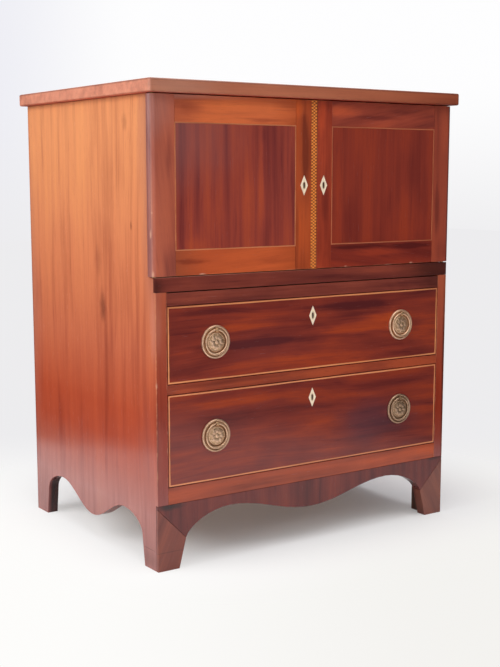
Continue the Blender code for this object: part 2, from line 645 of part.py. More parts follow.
def make_right_door():
    """Right door, with the lock let into its meeting stile and the bolt that shoots to the left."""
    pieces = make_door(1)
    stile = pieces[1]
    face = DOOR_REAR - LOCK_THICKNESS
    half = DOOR_LOCK_HEIGHT / 2
    start, end = RIGHT_DOOR_EDGE, RIGHT_DOOR_EDGE + DOOR_LOCK_WIDTH
    lock = box("door_lock", (start, end), (face, DOOR_REAR), (DOOR_MIDDLE - half, DOOR_MIDDLE + half))
    cut(stile, box("door_lock_pocket", (start - CUT_PAD, end + GLUE_LINE),
                   (face - GLUE_LINE, DOOR_REAR + CUT_PAD),
                   (DOOR_MIDDLE - half - GLUE_LINE, DOOR_MIDDLE + half + GLUE_LINE)))
    tall = DOOR_LOCK_BOLT_HEIGHT / 2
    cut(lock, box("door_lock_slot", (start - CUT_PAD, start + DOOR_LOCK_BOLT_LENGTH + GLUE_LINE),
                  bolt_depth(DOOR_REAR, RUNNING_GAP),
                  (DOOR_MIDDLE - tall - RUNNING_GAP, DOOR_MIDDLE + tall + RUNNING_GAP)))
    bolt = box("door_lock_bolt", (start, start + DOOR_LOCK_BOLT_LENGTH), bolt_depth(DOOR_REAR, 0.0),
               (DOOR_MIDDLE - tall, DOOR_MIDDLE + tall))
    finish(lock, BRASS)
    finish(bolt, IRON)
    carry("door_right_axis", (PIVOT_X, PIVOT_Y, DOOR_MIDDLE), pieces + [lock, bolt])


def drawer_side_outline(bottom, top, rear, grow):
    """Side of a drawer seen from the side: a board with a row of dovetails at its front end."""
    shoulder = DRAWER_REAR + GLUE_LINE
    tip = FRONT + DOVETAIL_LAP + GLUE_LINE - grow
    pitch = (top - bottom) / DOVETAIL_COUNT
    root_half = pitch * DOVETAIL_SHARE / 2 + grow
    tip_half = root_half + DOVETAIL_SLOPE * (shoulder - tip)
    outline = [(shoulder, bottom), (rear, bottom), (rear, top), (shoulder, top)]
    for i in reversed(range(DOVETAIL_COUNT)):
        middle = bottom + pitch * (i + 0.5)
        outline += [(shoulder, middle + root_half), (tip, middle + tip_half),
                    (tip, middle - tip_half), (shoulder, middle - root_half)]
    return outline


def make_drawer(name, levels):
    """A dovetailed drawer with its lock, its escutcheon and two ring handles."""
    bottom, top = levels
    front = box(name + "_front", (-DRAWER_HALF, DRAWER_HALF), (FRONT, DRAWER_REAR), levels)
    finish(front, FIGURED_WOOD)
    rear = BACK_FACE - DRAWER_BACK_ROOM
    side_bottom = bottom - DRAWER_GAP + RUNNING_GAP
    side_top = top - DRAWER_SIDE_DROP
    panel = stack(side_bottom + DRAWER_BOTTOM_RISE, DRAWER_BOTTOM_THICKNESS)
    groove = (panel[0] - GLUE_LINE, panel[1] + GLUE_LINE)
    inner = DRAWER_HALF - DRAWER_SIDE_THICKNESS
    groove_start = DRAWER_REAR + GLUE_LINE + DRAWER_GROOVE_WALL
    pieces = [front]
    for sign in (-1, 1):
        side_name = name + "_side_" + words(sign)
        side = slab(side_name, drawer_side_outline(side_bottom, side_top, rear, 0.0),
                    DRAWER_SIDE_THICKNESS, (sign * (inner + DRAWER_SIDE_THICKNESS / 2), 0.0, 0.0), ON_SIDE)
        cut(side, box(side_name + "_groove",
                      (sign * (inner - CUT_PAD), sign * (inner + DRAWER_GROOVE_DEPTH)),
                      (groove_start, rear + CUT_PAD), groove))
        socket = DRAWER_SIDE_THICKNESS + GLUE_LINE + CUT_PAD
        cut(front, slab(side_name + "_sockets", drawer_side_outline(side_bottom, side_top, rear, GLUE_LINE),
                        socket, (sign * (inner - GLUE_LINE + socket / 2), 0.0, 0.0), ON_SIDE))
        pieces.append(finish(side, INNER_WOOD))
    tongue = inner - DRAWER_GROOVE_WALL
    cut(front, box(name + "_front_groove", (-tongue, tongue),
                   (DRAWER_REAR - DRAWER_GROOVE_DEPTH, DRAWER_REAR + CUT_PAD), groove))
    narrow = tongue - GLUE_LINE
    wide = inner + DRAWER_GROOVE_DEPTH - GLUE_LINE
    start = DRAWER_REAR - DRAWER_GROOVE_DEPTH + GLUE_LINE
    shoulder = groove_start + GLUE_LINE
    plan = [(-narrow, start), (narrow, start), (narrow, shoulder), (wide, shoulder), (wide, rear),
            (-wide, rear), (-wide, shoulder), (-narrow, shoulder)]
    pieces.append(finish(slab(name + "_bottom", plan, DRAWER_BOTTOM_THICKNESS, (0.0, 0.0, sum(panel) / 2)),
                         INNER_WOOD))
    back_half = inner - GLUE_LINE
    pieces.append(finish(box(name + "_back", (-back_half, back_half), (rear - DRAWER_BACK_THICKNESS, rear),
                             (groove[1], side_top - DRAWER_BACK_DROP)), INNER_WOOD))
    pieces += fit_drawer_lock(front, name, top)
    pieces.append(fit_escutcheon(front, name + "_escutcheon", 0.0, top - DRAWER_ESCUTCHEON_DROP,
                                 DRAWER_REAR - LOCK_THICKNESS))
    rings = []
    for sign in (-1, 1):
        plate, ring = fit_handle(front, name, sign, (bottom + top) / 2)
        pieces.append(plate)
        rings.append(ring)
    carry(name + "_axis", (0.0, FRONT, bottom), pieces + rings)


def fit_drawer_lock(front, name, top):
    """Lock let into the back of a drawer front, with a bolt that shoots up into the rail."""
    face = DRAWER_REAR - LOCK_THICKNESS
    half = DRAWER_LOCK_WIDTH / 2
    foot = top - DRAWER_ESCUTCHEON_DROP - DRAWER_LOCK_BELOW_KEY
    lock = box(name + "_lock", (-half, half), (face, DRAWER_REAR), (foot, top))
    cut(front, box(name + "_lock_pocket", (-half - GLUE_LINE, half + GLUE_LINE),
                   (face - GLUE_LINE, DRAWER_REAR + CUT_PAD), (foot - GLUE_LINE, top + CUT_PAD)))
    wide = DRAWER_LOCK_BOLT_WIDTH / 2
    bolt_foot = top - DRAWER_LOCK_BOLT_LENGTH
    cut(lock, box(name + "_lock_slot", (-wide - RUNNING_GAP, wide + RUNNING_GAP),
                  bolt_depth(DRAWER_REAR, RUNNING_GAP), (bolt_foot - RUNNING_GAP, top + CUT_PAD)))
    bolt = box(name + "_lock_bolt", (-wide, wide), bolt_depth(DRAWER_REAR, 0.0), (bolt_foot, top))
    return [finish(lock, BRASS), finish(bolt, IRON)]


def plate_profile():
    """Half section of a handle plate, from the crown of its medallion to the end of its nut."""
    profile = []
    crown = MEDALLION_HEIGHT - PLATE_CHANNEL_HEIGHT
    for i in range(DOME_STEPS + 1):
        angle = math.pi / 2 * i / DOME_STEPS
        profile.append((MEDALLION_RADIUS * math.sin(angle), PLATE_CHANNEL_HEIGHT + crown * math.cos(angle)))
    rim = PLATE_RADIUS - PLATE_RIM_WIDTH
    bead = PLATE_RIM_HEIGHT - PLATE_CHANNEL_HEIGHT
    for i in range(DOME_STEPS + 1):
        angle = math.pi * i / DOME_STEPS
        profile.append((rim + PLATE_RIM_WIDTH / 2 * (1 - math.cos(angle)),
                        PLATE_CHANNEL_HEIGHT + bead * math.sin(angle)))
    nut_face = -DRAWER_FRONT_THICKNESS - GLUE_LINE
    profile += [(PLATE_RADIUS, GLUE_LINE), (POST_RADIUS, GLUE_LINE), (POST_RADIUS, nut_face),
                (NUT_RADIUS, nut_face), (NUT_RADIUS, nut_face - NUT_THICKNESS),
                (0.0, nut_face - NUT_THICKNESS)]
    return profile


def fit_handle(front, name, sign, z):
    """A turned plate bolted through the drawer front, and the ring that hangs in its eye."""
    x = sign * HANDLE_SPACING / 2
    hand = words(sign)
    plate = turned(name + "_plate_" + hand, plate_profile(), (x, FRONT, z), ON_FRONT)
    cut(front, rod(name + "_post_hole_" + hand, POST_RADIUS + GLUE_LINE,
                   DRAWER_FRONT_THICKNESS + 2 * CUT_PAD,
                   (x, FRONT + DRAWER_FRONT_THICKNESS / 2, z), ON_FRONT))
    hang = FRONT - PLATE_CHANNEL_HEIGHT - RING_LIFT - RING_WIRE_RADIUS
    along_x = (0.0, math.pi / 2, 0.0)
    pivot = (x, hang, z + RING_RADIUS)
    join(plate, rod(plate.name + "_eye", EYE_RADIUS, EYE_WIDTH, pivot, along_x, steps=EYE_STEPS))
    cut(plate, rod(plate.name + "_eye_bore", RING_WIRE_RADIUS + EYE_CLEARANCE, EYE_WIDTH + 2 * CUT_PAD,
                   pivot, along_x, steps=EYE_STEPS))
    finish(plate, BRASS)
    bpy.ops.mesh.primitive_torus_add(major_radius=RING_RADIUS, minor_radius=RING_WIRE_RADIUS,
                                     major_segments=RING_STEPS, minor_segments=WIRE_STEPS)
    drawn = bpy.context.object
    mesh = drawn.data
    bpy.data.objects.remove(drawn, do_unlink=True)
    mesh.transform(Matrix.Translation((0.0, -RING_RADIUS, 0.0)))
    mesh.shade_smooth()
    ring = place(name + "_ring_" + hand, mesh, pivot, ON_FRONT)
    return plate, finish(ring, BRASS)


make_top()
for hand_sign in (-1, 1):
    make_side(hand_sign)
    make_pins(hand_sign)
make_boards()
make_rails()
make_apron()
make_left_door()
make_right_door()
make_drawer("drawer_upper", UPPER_DRAWER)
make_drawer("drawer_lower", LOWER_DRAWER)
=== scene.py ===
"""Looks of a small inlaid mahogany side cabinet: two doors over two drawers, on bracket feet.

Lengths are metres in the part's own frame, with X to the right, Y to the back and Z up.
"""

import math

import bmesh
import bpy
import numpy as np
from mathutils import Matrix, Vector


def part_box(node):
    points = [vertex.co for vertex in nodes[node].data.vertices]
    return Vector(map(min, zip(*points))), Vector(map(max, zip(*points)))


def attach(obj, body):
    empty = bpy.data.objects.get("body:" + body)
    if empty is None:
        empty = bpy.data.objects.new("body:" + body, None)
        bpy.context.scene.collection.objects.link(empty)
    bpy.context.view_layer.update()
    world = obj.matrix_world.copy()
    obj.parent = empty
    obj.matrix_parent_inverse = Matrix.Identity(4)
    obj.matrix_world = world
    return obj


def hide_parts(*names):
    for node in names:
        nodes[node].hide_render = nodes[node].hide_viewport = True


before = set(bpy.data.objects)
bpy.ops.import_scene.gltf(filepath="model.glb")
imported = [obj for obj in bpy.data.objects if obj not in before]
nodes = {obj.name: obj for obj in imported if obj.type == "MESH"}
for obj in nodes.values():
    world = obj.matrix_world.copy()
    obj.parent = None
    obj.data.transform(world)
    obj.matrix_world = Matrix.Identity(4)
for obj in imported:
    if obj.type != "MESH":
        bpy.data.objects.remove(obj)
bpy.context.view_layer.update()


# Side boards
# Each side is one upright mahogany plank that runs to the floor and is sawn out below into two feet.
# It is planed, housed for the floors and rails, and polished. Light has bleached its upper part to amber, and
# at the foot it is painted paler and greyer as a reflection of the floor.

def put(tree, kind, feeds=None, **options):
    """Adds a shader node. options are its own settings. feeds fills its inputs, a socket by a link and
    anything else as a plain value."""
    made = tree.nodes.new("ShaderNode" + kind)
    for option, value in options.items():
        setattr(made, option, value)
    for place, value in (feeds or {}).items():
        if isinstance(value, bpy.types.NodeSocket):
            tree.links.new(value, made.inputs[place])
        else:
            made.inputs[place].default_value = value
    return made


def reckon(tree, operation, *values, clamp=False):
    """One sum on sockets or numbers, such as ADD or MULTIPLY; gives the socket of the result."""
    return put(tree, "Math", dict(enumerate(values)), operation=operation, use_clamp=clamp).outputs[0]


def vector(tree, operation, first, second, result=0):
    """One sum on vectors; gives the socket of the result."""
    second_place = "Scale" if operation == "SCALE" else 1
    return put(tree, "VectorMath", {0: first, second_place: second}, operation=operation).outputs[result]


def mixed(tree, share, first, second, way="MIX"):
    """A colour that is first where share is 0 and second where it is 1."""
    return put(tree, "Mix", {0: share, 6: first, 7: second}, data_type="RGBA", blend_type=way).outputs[2]


def ramped(tree, value, start, end):
    """0 below start and 1 above end, with a soft rise between; start may be above end."""
    return put(tree, "MapRange", {"Value": value, "From Min": start, "From Max": end},
               interpolation_type="SMOOTHSTEP").outputs[0]


def speckle(tree, place, stretch, seed, detail=2.0, rough=0.5, bent=0.0):
    """Noise around one half, at a place scaled by stretch along each axis; gives the node's outputs."""
    return put(tree, "TexNoise", {"Vector": vector(tree, "MULTIPLY", place, stretch), "W": seed, "Scale": 1.0,
                                  "Detail": detail, "Roughness": rough, "Distortion": bent},
               noise_dimensions="4D").outputs


def group(name, takes, gives):
    """Starts a node group with the sockets listed as (name, kind); gives its tree, inputs and outputs."""
    tree = bpy.data.node_groups.new(name, "ShaderNodeTree")
    for socket, kind in takes:
        tree.interface.new_socket(socket, in_out="INPUT", socket_type="NodeSocket" + kind)
    for socket, kind in gives:
        tree.interface.new_socket(socket, in_out="OUTPUT", socket_type="NodeSocket" + kind)
    return tree, tree.nodes.new("NodeGroupInput").outputs, tree.nodes.new("NodeGroupOutput").inputs


def give(tree, leave, **results):
    """Links each result to the group's output of that name."""
    for name, socket in results.items():
        tree.links.new(socket, leave[name])


def tint(red, green, blue):
    """A colour written as on a screen, 0 to 255, as the linear colour that a shader takes."""
    shown = np.array((red, green, blue)) / 255
    linear = np.where(shown <= 0.04045, shown / 12.92, ((shown + 0.055) / 1.055) ** 2.4)
    return (*linear.tolist(), 1.0)


def graded(tree, value, stops):
    """A colour that runs through stops, each a level and a screen colour, as value rises."""
    start, end = stops[0][0], stops[-1][0]
    ramp = put(tree, "ValToRGB", {0: put(tree, "MapRange", {"Value": value, "From Min": start,
                                                           "From Max": end}).outputs[0]})
    elements = ramp.color_ramp.elements
    for number, (level, colour) in enumerate(stops):
        place = (level - start) / (end - start)
        if 0 < number < len(stops) - 1:
            stop = elements.new(place)
        else:
            stop = elements[0] if number == 0 else elements[-1]
        stop.position = place
        stop.color = tint(*colour)
    return ramp.outputs[0]


# Timber whose grain runs along the Z of Place: slow bands, ribbons, fibres, clouds, flecks and short pores.
timber, take, leave = group(
    "timber grain",
    (("Place", "Vector"), ("Seed", "Float"), ("Stripe", "Float"), ("Cloud", "Float"), ("Wander", "Float"),
     ("Figure", "Float"), ("Polish", "Float"), ("Dark", "Color"), ("Middle", "Color"), ("Light", "Color")),
    (("Color", "Color"), ("Roughness", "Float"), ("Height", "Float")))
slow = speckle(timber, take["Place"], (6, 6, 1.8), take["Seed"])["Color"]
drift = vector(timber, "SUBTRACT", slow, (0.5,) * 3)
grown = vector(timber, "ADD", take["Place"], vector(timber, "SCALE", drift, take["Wander"]))
bands = speckle(timber, grown, (11, 11, 1.2), take["Seed"])["Fac"]
ribbons = speckle(timber, grown, (72, 72, 2.8), take["Seed"], detail=2, rough=0.5)["Fac"]
fibres = speckle(timber, grown, (330, 330, 9), take["Seed"], detail=3, rough=0.6)["Fac"]
clouds = speckle(timber, grown, (20, 20, 6), take["Seed"], detail=3, bent=0.6)["Fac"]
flecks = ramped(timber, speckle(timber, grown, (260, 260, 14), take["Seed"], detail=1)["Fac"], 0.60, 0.74)
pores = ramped(timber, speckle(timber, grown, (1500, 1500, 42), take["Seed"], detail=1)["Fac"], 0.60, 0.72)
tone = reckon(timber, "ADD", take["Figure"], 0.5)
for layer, strength in ((bands, 0.9), (ribbons, take["Stripe"]), (fibres, 0.4), (clouds, take["Cloud"])):
    tone = reckon(timber, "MULTIPLY_ADD", reckon(timber, "SUBTRACT", layer, 0.5), strength, tone)
tone = reckon(timber, "MULTIPLY_ADD", flecks, -0.15, tone)
wood = mixed(timber, reckon(timber, "MULTIPLY", tone, 2.0, clamp=True), take["Dark"], take["Middle"])
wood = mixed(timber, reckon(timber, "MULTIPLY_ADD", tone, 2.0, -1.0, clamp=True), wood, take["Light"])
wood = mixed(timber, reckon(timber, "MULTIPLY", pores, 0.4), wood, take["Dark"])
rough = reckon(timber, "MULTIPLY_ADD", reckon(timber, "SUBTRACT", fibres, 0.5), 0.12, take["Polish"])
give(timber, leave, Color=wood, Roughness=reckon(timber, "MULTIPLY_ADD", pores, 0.1, rough),
     Height=reckon(timber, "SUBTRACT", fibres, reckon(timber, "MULTIPLY", pores, 0.6)))

# A soft spot: 1 at Centre, fading to 0 at Reach along each axis, with a ragged outline.
spot, take, leave = group("soft spot", (("Place", "Vector"), ("Centre", "Vector"), ("Reach", "Vector"),
                                        ("Ragged", "Float")), (("Mask", "Float"),))
off = vector(spot, "DIVIDE", vector(spot, "SUBTRACT", take["Place"], take["Centre"]), take["Reach"])
torn = reckon(spot, "SUBTRACT", speckle(spot, off, (1.6, 1.6, 1.6), 0.0, detail=3)["Fac"], 0.5)
far = reckon(spot, "MULTIPLY_ADD", torn, take["Ragged"], vector(spot, "LENGTH", off, (0, 0, 0), "Value"))
give(spot, leave, Mask=ramped(spot, far, 1.0, 0.15))

# Worn arrises: 1 where a place lies near two faces of the box from Low to High, fading over a ragged Width.
WEAR_FADE = 0.0003
arris, take, leave = group("worn arris", (("Place", "Vector"), ("Low", "Vector"), ("High", "Vector"),
                                          ("Width", "Float")), (("Mask", "Float"),))
inward = vector(arris, "MINIMUM", vector(arris, "SUBTRACT", take["Place"], take["Low"]),
                vector(arris, "SUBTRACT", take["High"], take["Place"]))
near = put(arris, "SeparateXYZ", {0: inward}).outputs
second = reckon(arris, "MAXIMUM", reckon(arris, "MINIMUM", near[0], near[1]),
                reckon(arris, "MINIMUM", reckon(arris, "MAXIMUM", near[0], near[1]), near[2]))
patchy = speckle(arris, take["Place"], (55, 55, 55), 0.0, detail=4, rough=0.65)["Fac"]
reach = reckon(arris, "MULTIPLY", ramped(arris, patchy, 0.42, 0.70), take["Width"])
give(arris, leave, Mask=ramped(arris, reckon(arris, "SUBTRACT", second, reach), WEAR_FADE, 0.0))

FRONT, FRONT_REACH = -0.230, 0.03
UPRIGHT, ALONG, DEEP = (0, 0, 0), (0, -90, 0), (90, 0, 0)
WORN_EDGE = tint(214, 150, 112)


def soft_spot(tree, here, centre, span, ragged):
    """The mask of one soft spot. A centre and span of two numbers lie on the front, across and up."""
    if len(centre) == 2:
        centre, span = (centre[0], FRONT, centre[1]), (span[0], FRONT_REACH, span[1])
    return put(tree, "Group", {"Place": here, "Centre": centre, "Reach": span, "Ragged": ragged},
               node_tree=spot).outputs[0]


def polished(name, middle, turn=UPRIGHT, seed=0.0, deep=(0.50, 0.48, 0.62), glow=(1.5, 1.5, 1.2),
             stripe=1.2, cloud=0.4, wander=0.03, polish=0.17, figure=(), marks=(), ramps=(), worn=None,
             dulled=None):
    """A polished timber. middle is its screen colour, deep and glow are the shares of that in its dark and
    light grain, and turn is the tilt in degrees that brings the grain upright. polish is its roughness.
    figure lists lighter or darker clouds as (centre, span, amount), marks lists stains as (centre, span,
    colour, amount), ramps lists (axis, stops) for colours that multiply the wood, worn is (low corner, high
    corner, width, amount) for arrises, and dulled is (start, end, amount) for heights between which the
    polish turns that much rougher."""
    made = bpy.data.materials.new(name)
    made.use_nodes = True
    tree = made.node_tree
    shader = tree.nodes["Principled BSDF"]
    here = put(tree, "TexCoord").outputs["Object"]
    turned = put(tree, "Mapping", {"Vector": here, "Rotation": [math.radians(a) for a in turn]}).outputs[0]
    lift = 0.0
    for centre, span, amount in figure:
        lift = reckon(tree, "MULTIPLY_ADD", soft_spot(tree, here, centre, span, 0.8), amount, lift)
    tones = {tone: (*(np.array(tint(*middle)[:3]) * share).tolist(), 1.0)
             for tone, share in (("Dark", deep), ("Middle", 1.0), ("Light", glow))}
    grain = put(tree, "Group", {"Place": turned, "Seed": seed, "Stripe": stripe, "Cloud": cloud,
                                "Wander": wander, "Figure": lift, "Polish": polish, **tones},
                node_tree=timber).outputs
    colour = grain["Color"]
    for axis, stops in ramps:
        level = put(tree, "SeparateXYZ", {0: here}).outputs[axis]
        colour = mixed(tree, 1.0, colour, graded(tree, level, stops), "MULTIPLY")
    for centre, span, stain, amount in marks:
        mask = reckon(tree, "MULTIPLY", soft_spot(tree, here, centre, span, 0.7), amount)
        colour = mixed(tree, mask, colour, stain)
    if worn:
        low, high, width, amount = worn
        rubbed = put(tree, "Group", {"Place": here, "Low": low, "High": high, "Width": width},
                     node_tree=arris)
        colour = mixed(tree, reckon(tree, "MULTIPLY", rubbed.outputs[0], amount), colour, WORN_EDGE)
    tree.links.new(colour, shader.inputs["Base Color"])
    rough = grain["Roughness"]
    if dulled:
        start, end, amount = dulled
        height = put(tree, "SeparateXYZ", {0: here}).outputs[2]
        rough = reckon(tree, "MULTIPLY_ADD", ramped(tree, height, start, end), amount, rough)
    tree.links.new(rough, shader.inputs["Roughness"])
    bump = put(tree, "Bump", {"Height": grain["Height"], "Strength": 0.2, "Distance": 0.0003})
    tree.links.new(bump.outputs[0], shader.inputs["Normal"])
    return made


# Smooth bends: faces shade as one round where they meet at less than CRISP, and stay crisp past it.
CRISP = math.radians(50)
bends = bpy.data.node_groups.new("smooth bends", "GeometryNodeTree")
bends.interface.new_socket("Geometry", in_out="INPUT", socket_type="NodeSocketGeometry")
bends.interface.new_socket("Geometry", in_out="OUTPUT", socket_type="NodeSocketGeometry")
enter, leave = bends.nodes.new("NodeGroupInput"), bends.nodes.new("NodeGroupOutput")
smooth, crisp = (bends.nodes.new("GeometryNodeSetShadeSmooth") for _ in range(2))
smooth.domain, crisp.domain = "FACE", "EDGE"
sharp = bends.nodes.new("FunctionNodeCompare")
sharp.operation = "GREATER_THAN"
sharp.inputs[1].default_value = CRISP
crisp.inputs["Shade Smooth"].default_value = False
angle = bends.nodes.new("GeometryNodeInputMeshEdgeAngle")
for start, end in ((enter.outputs[0], smooth.inputs["Geometry"]),
                   (smooth.outputs[0], crisp.inputs["Geometry"]),
                   (angle.outputs["Unsigned Angle"], sharp.inputs[0]),
                   (sharp.outputs[0], crisp.inputs["Selection"]),
                   (crisp.outputs[0], leave.inputs[0])):
    bends.links.new(start, end)

TOUCHING, FLAT, SHARP = 1e-5, math.radians(1), math.radians(30)


def eased(name, material, width, steps=2):
    """Gives a solid its material and, by live modifiers, rounds its sharp arrises over that width and shades
    its bends smoothly while its flats stay flat."""
    solid = nodes[name]
    solid.material_slots[0].material = material
    closed = solid.modifiers.new("closed_up", "WELD")
    closed.merge_threshold = TOUCHING
    flat = solid.modifiers.new("flat_faces", "DECIMATE")
    flat.decimate_type = "DISSOLVE"
    flat.angle_limit = FLAT
    soft = solid.modifiers.new("eased_arrises", "BEVEL")
    soft.limit_method = "ANGLE"
    soft.angle_limit = SHARP
    soft.width = width
    soft.segments = steps
    solid.modifiers.new("smooth_bends", "NODES").node_group = bends
    solid.modifiers.new("flats_stay_flat", "WEIGHTED_NORMAL").keep_sharp = True


WHITE, SAWN = (255, 255, 255), (214, 190, 198)
# The soot colour also stands for painted shade: under the arch, in the keyholes and at edges turned from the
# light.
KNOT, SOOT_AND_SHADE, CHIP = tint(96, 44, 34), tint(44, 22, 20), tint(206, 152, 126)
HANDLED, RUBBED, FADED = tint(164, 104, 90), tint(196, 126, 106), tint(176, 98, 82)
# Colour up the side: painted paler and greyer near the floor as a reflection of it, red low down, amber
# higher up.
SIDE_TONE_AND_FLOOR_SHEEN = ((0.03, (154, 97, 88)), (0.09, (168, 105, 94)), (0.15, (166, 79, 58)), (0.20, (168, 68, 40)),
             (0.25, (173, 72, 42)), (0.36, (193, 103, 71)), (0.50, (211, 124, 83)), (0.64, (220, 138, 90)),
             (0.76, (230, 149, 98)))
SAWN_SHARE = 0.994  # the sawn colour is full from this share of the outer face's distance inwards
SIDE_ARRIS, SIDE_WEAR = 0.0009, (0.0016, 0.35)
for side, outer, seed, figure, marks in (
        ("side_left", -0.310, 3.1,
         (((-0.31, 0.08, 0.66), (0.03, 0.09, 0.16), 0.16), ((-0.31, -0.07, 0.60), (0.03, 0.04, 0.22), -0.12),
          ((-0.31, -0.19, 0.70), (0.03, 0.03, 0.10), 0.14), ((-0.31, 0.20, 0.40), (0.03, 0.03, 0.25), -0.10)),
         (((-0.31, -0.232, 0.66), (0.02, 0.065, 0.36), HANDLED, 0.75),
          ((-0.31, 0.240, 0.42), (0.02, 0.060, 0.40), HANDLED, 0.4),
          ((-0.31, 0.234, 0.40), (0.02, 0.010, 0.60), KNOT, 0.4),
          ((-0.31, -0.053, 0.417), (0.02, 0.016, 0.036), KNOT, 0.6),
          ((-0.31, -0.155, 0.556), (0.02, 0.004, 0.010), KNOT, 0.6),
          ((-0.31, -0.138, 0.720), (0.02, 0.012, 0.020), KNOT, 0.25),
          ((-0.31, -0.040, 0.494), (0.02, 0.016, 0.040), KNOT, 0.22),
          ((-0.31, -0.200, 0.016), (0.02, 0.050, 0.020), KNOT, 0.35),
          ((-0.31, -0.200, 0.033), (0.02, 0.040, 0.0012), KNOT, 0.55),
          ((-0.31, -0.176, 0.003), (0.02, 0.014, 0.006), CHIP, 0.6),
          ((-0.31, -0.230, 0.306), (0.003, 0.003, 0.007), CHIP, 0.9),
          ((-0.31, -0.231, 0.205), (0.006, 0.0045, 0.12), KNOT, 0.75),
          ((-0.31, -0.222, 0.400), (0.02, 0.014, 0.080), RUBBED, 0.5),
          ((-0.31, -0.205, 0.195), (0.02, 0.050, 0.110), FADED, 0.25),
          # Painted shade: the sawn edge of the arch and the inner face of the back foot are darkened.
          ((-0.2995, 0.190, 0.050), (0.0118, 0.070, 0.120), SOOT_AND_SHADE, 1.0),
          ((-0.291, 0.190, 0.050), (0.010, 0.070, 0.120), SOOT_AND_SHADE, 0.9))),
        ("side_right", 0.310, 8.4, (((0.31, 0.02, 0.62), (0.03, 0.09, 0.16), 0.14),),
         (((0.31, 0.071, 0.360), (0.02, 0.009, 0.024), KNOT, 0.7),
          # Its front edge is darkened, partly dirt and partly painted shade where it turns from the light.
          ((0.311, -0.230, 0.290), (0.009, 0.012, 0.30), SOOT_AND_SHADE, 0.8)))):
    edge = (0, tuple(sorted(((outer, WHITE), (outer * SAWN_SHARE, SAWN)))))
    eased(side, polished("mahogany of " + side, WHITE, seed=seed, deep=(0.66, 0.56, 0.60),
                         glow=(1.13, 1.2, 1.1), stripe=1.15, cloud=0.7, wander=0.05, figure=figure,
                         marks=marks, ramps=((2, SIDE_TONE_AND_FLOOR_SHEEN), edge), worn=(*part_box(side), *SIDE_WEAR)),
          SIDE_ARRIS)


# Back, floors and glue blocks
# The back, the cupboard floor, the boards under the drawers and the blocks behind the front feet are
# plain pale carcase wood, left bare, sawn and planed flat, let into housings and glued. The blocks are
# coloured darker.

BARE, DARK_BLOCK_TONE = (186, 140, 95), (88, 56, 42)
BARE_GRAIN = {"deep": (0.62, 0.54, 0.46), "glow": (1.3, 1.4, 1.5), "stripe": 1.0, "cloud": 0.5}
BOARD_ARRIS = 0.0006
for seed, (board, middle, turn) in enumerate((
        ("back_panel", BARE, UPRIGHT), ("cupboard_floor", BARE, ALONG), ("dust_board", BARE, ALONG),
        ("bottom_board", BARE, ALONG), ("glue_block_left", DARK_BLOCK_TONE, UPRIGHT),
        ("glue_block_right", DARK_BLOCK_TONE, UPRIGHT))):
    eased(board, polished("bare wood of " + board, middle, turn, seed=20.0 + seed, wander=0.05, polish=0.6,
                          **BARE_GRAIN), BOARD_ARRIS)


# Rails
# Four mahogany rails tie the sides at the front, over and under each drawer and below the doors. They are
# tenoned and lapped into the sides. The lower two are faded. The top of the ledge under the doors is painted
# pale, as light in the shaded gap, and the right ends of the upper two are darker, partly dirt and partly
# painted shade.

# Painted light: the top face of the waist rail in the gap under the doors is pale, to lighten the shade
# there.
PAINTED_GAP_LIGHT = tint(206, 140, 120)
RAIL_ARRIS = 0.0002
for seed, (rail, middle, figure, marks) in enumerate((
        ("waist_rail", (126, 57, 45),
         (((0.05, 0.465), (0.2, 0.02), -0.12), ((-0.26, 0.465), (0.05, 0.02), 0.12)),
         # The right ends of this rail and the next are darkened, partly dirt and partly painted shade.
         (((0.310, 0.464), (0.150, 0.06), SOOT_AND_SHADE, 0.72), ((-0.310, 0.458), (0.020, 0.03), SOOT_AND_SHADE, 0.6),
          ((-0.15, 0.4773), (0.40, 0.0012), PAINTED_GAP_LIGHT, 0.9))),
        ("upper_rail", (134, 63, 49),
         (((-0.28, 0.442), (0.05, 0.02), 0.12), ((0.15, 0.442), (0.15, 0.02), -0.1)),
         (((0.300, 0.442), (0.090, 0.05), SOOT_AND_SHADE, 0.45),)),
        ("middle_rail", (140, 62, 42),
         (((0.039, 0.297), (0.12, 0.013), 0.45), ((-0.170, 0.300), (0.1, 0.006), -0.2),
          ((-0.255, 0.293), (0.05, 0.005), 0.45), ((0.22, 0.297), (0.08, 0.013), 0.3)), ()),
        ("bottom_rail", (158, 66, 34), (), ()))):
    eased(rail, polished("mahogany of " + rail, middle, ALONG, seed=30.0 + 1.7 * seed, stripe=1.4, cloud=1.2,
                         figure=figure, marks=marks), RAIL_ARRIS)


# Front apron and feet
# A shaped apron hangs under the bottom rail, faced with dark veneer laid with its grain upright. A facing
# with a slanting seam stands at each end and makes the front of the foot. The left foot's tip was pieced.

SEAM_LEAN = 24
# A dark patch at the apron's top left corner, beside the foot.
DARK_CORNER_PATCH = ((-0.2865, 0.1065), (0.034, 0.009), SOOT_AND_SHADE, 0.95)
PIECED_TIP = ((-0.287, 0.031), (0.05, 0.0012), SOOT_AND_SHADE, 0.45)
APRON_ARRIS, FACING_ARRIS = 0.0005, 0.0004
eased("front_apron", polished("veneer of front_apron", (106, 41, 33), UPRIGHT, seed=41.3, stripe=1.3,
                              cloud=1.3, marks=(DARK_CORNER_PATCH, ((0.290, 0.1080), (0.024, 0.006), SOOT_AND_SHADE, 0.6))),
      APRON_ARRIS)
for hand, lean, middle, marks in (("left", -SEAM_LEAN, (124, 62, 48), (DARK_CORNER_PATCH, PIECED_TIP)),
                                  ("right", SEAM_LEAN, (132, 74, 57), ())):
    facing = "foot_facing_" + hand
    eased(facing, polished("veneer of " + facing, middle, (0, lean, 0), seed=44.0 + lean, stripe=1.3,
                           cloud=0.5, marks=marks), FACING_ARRIS)
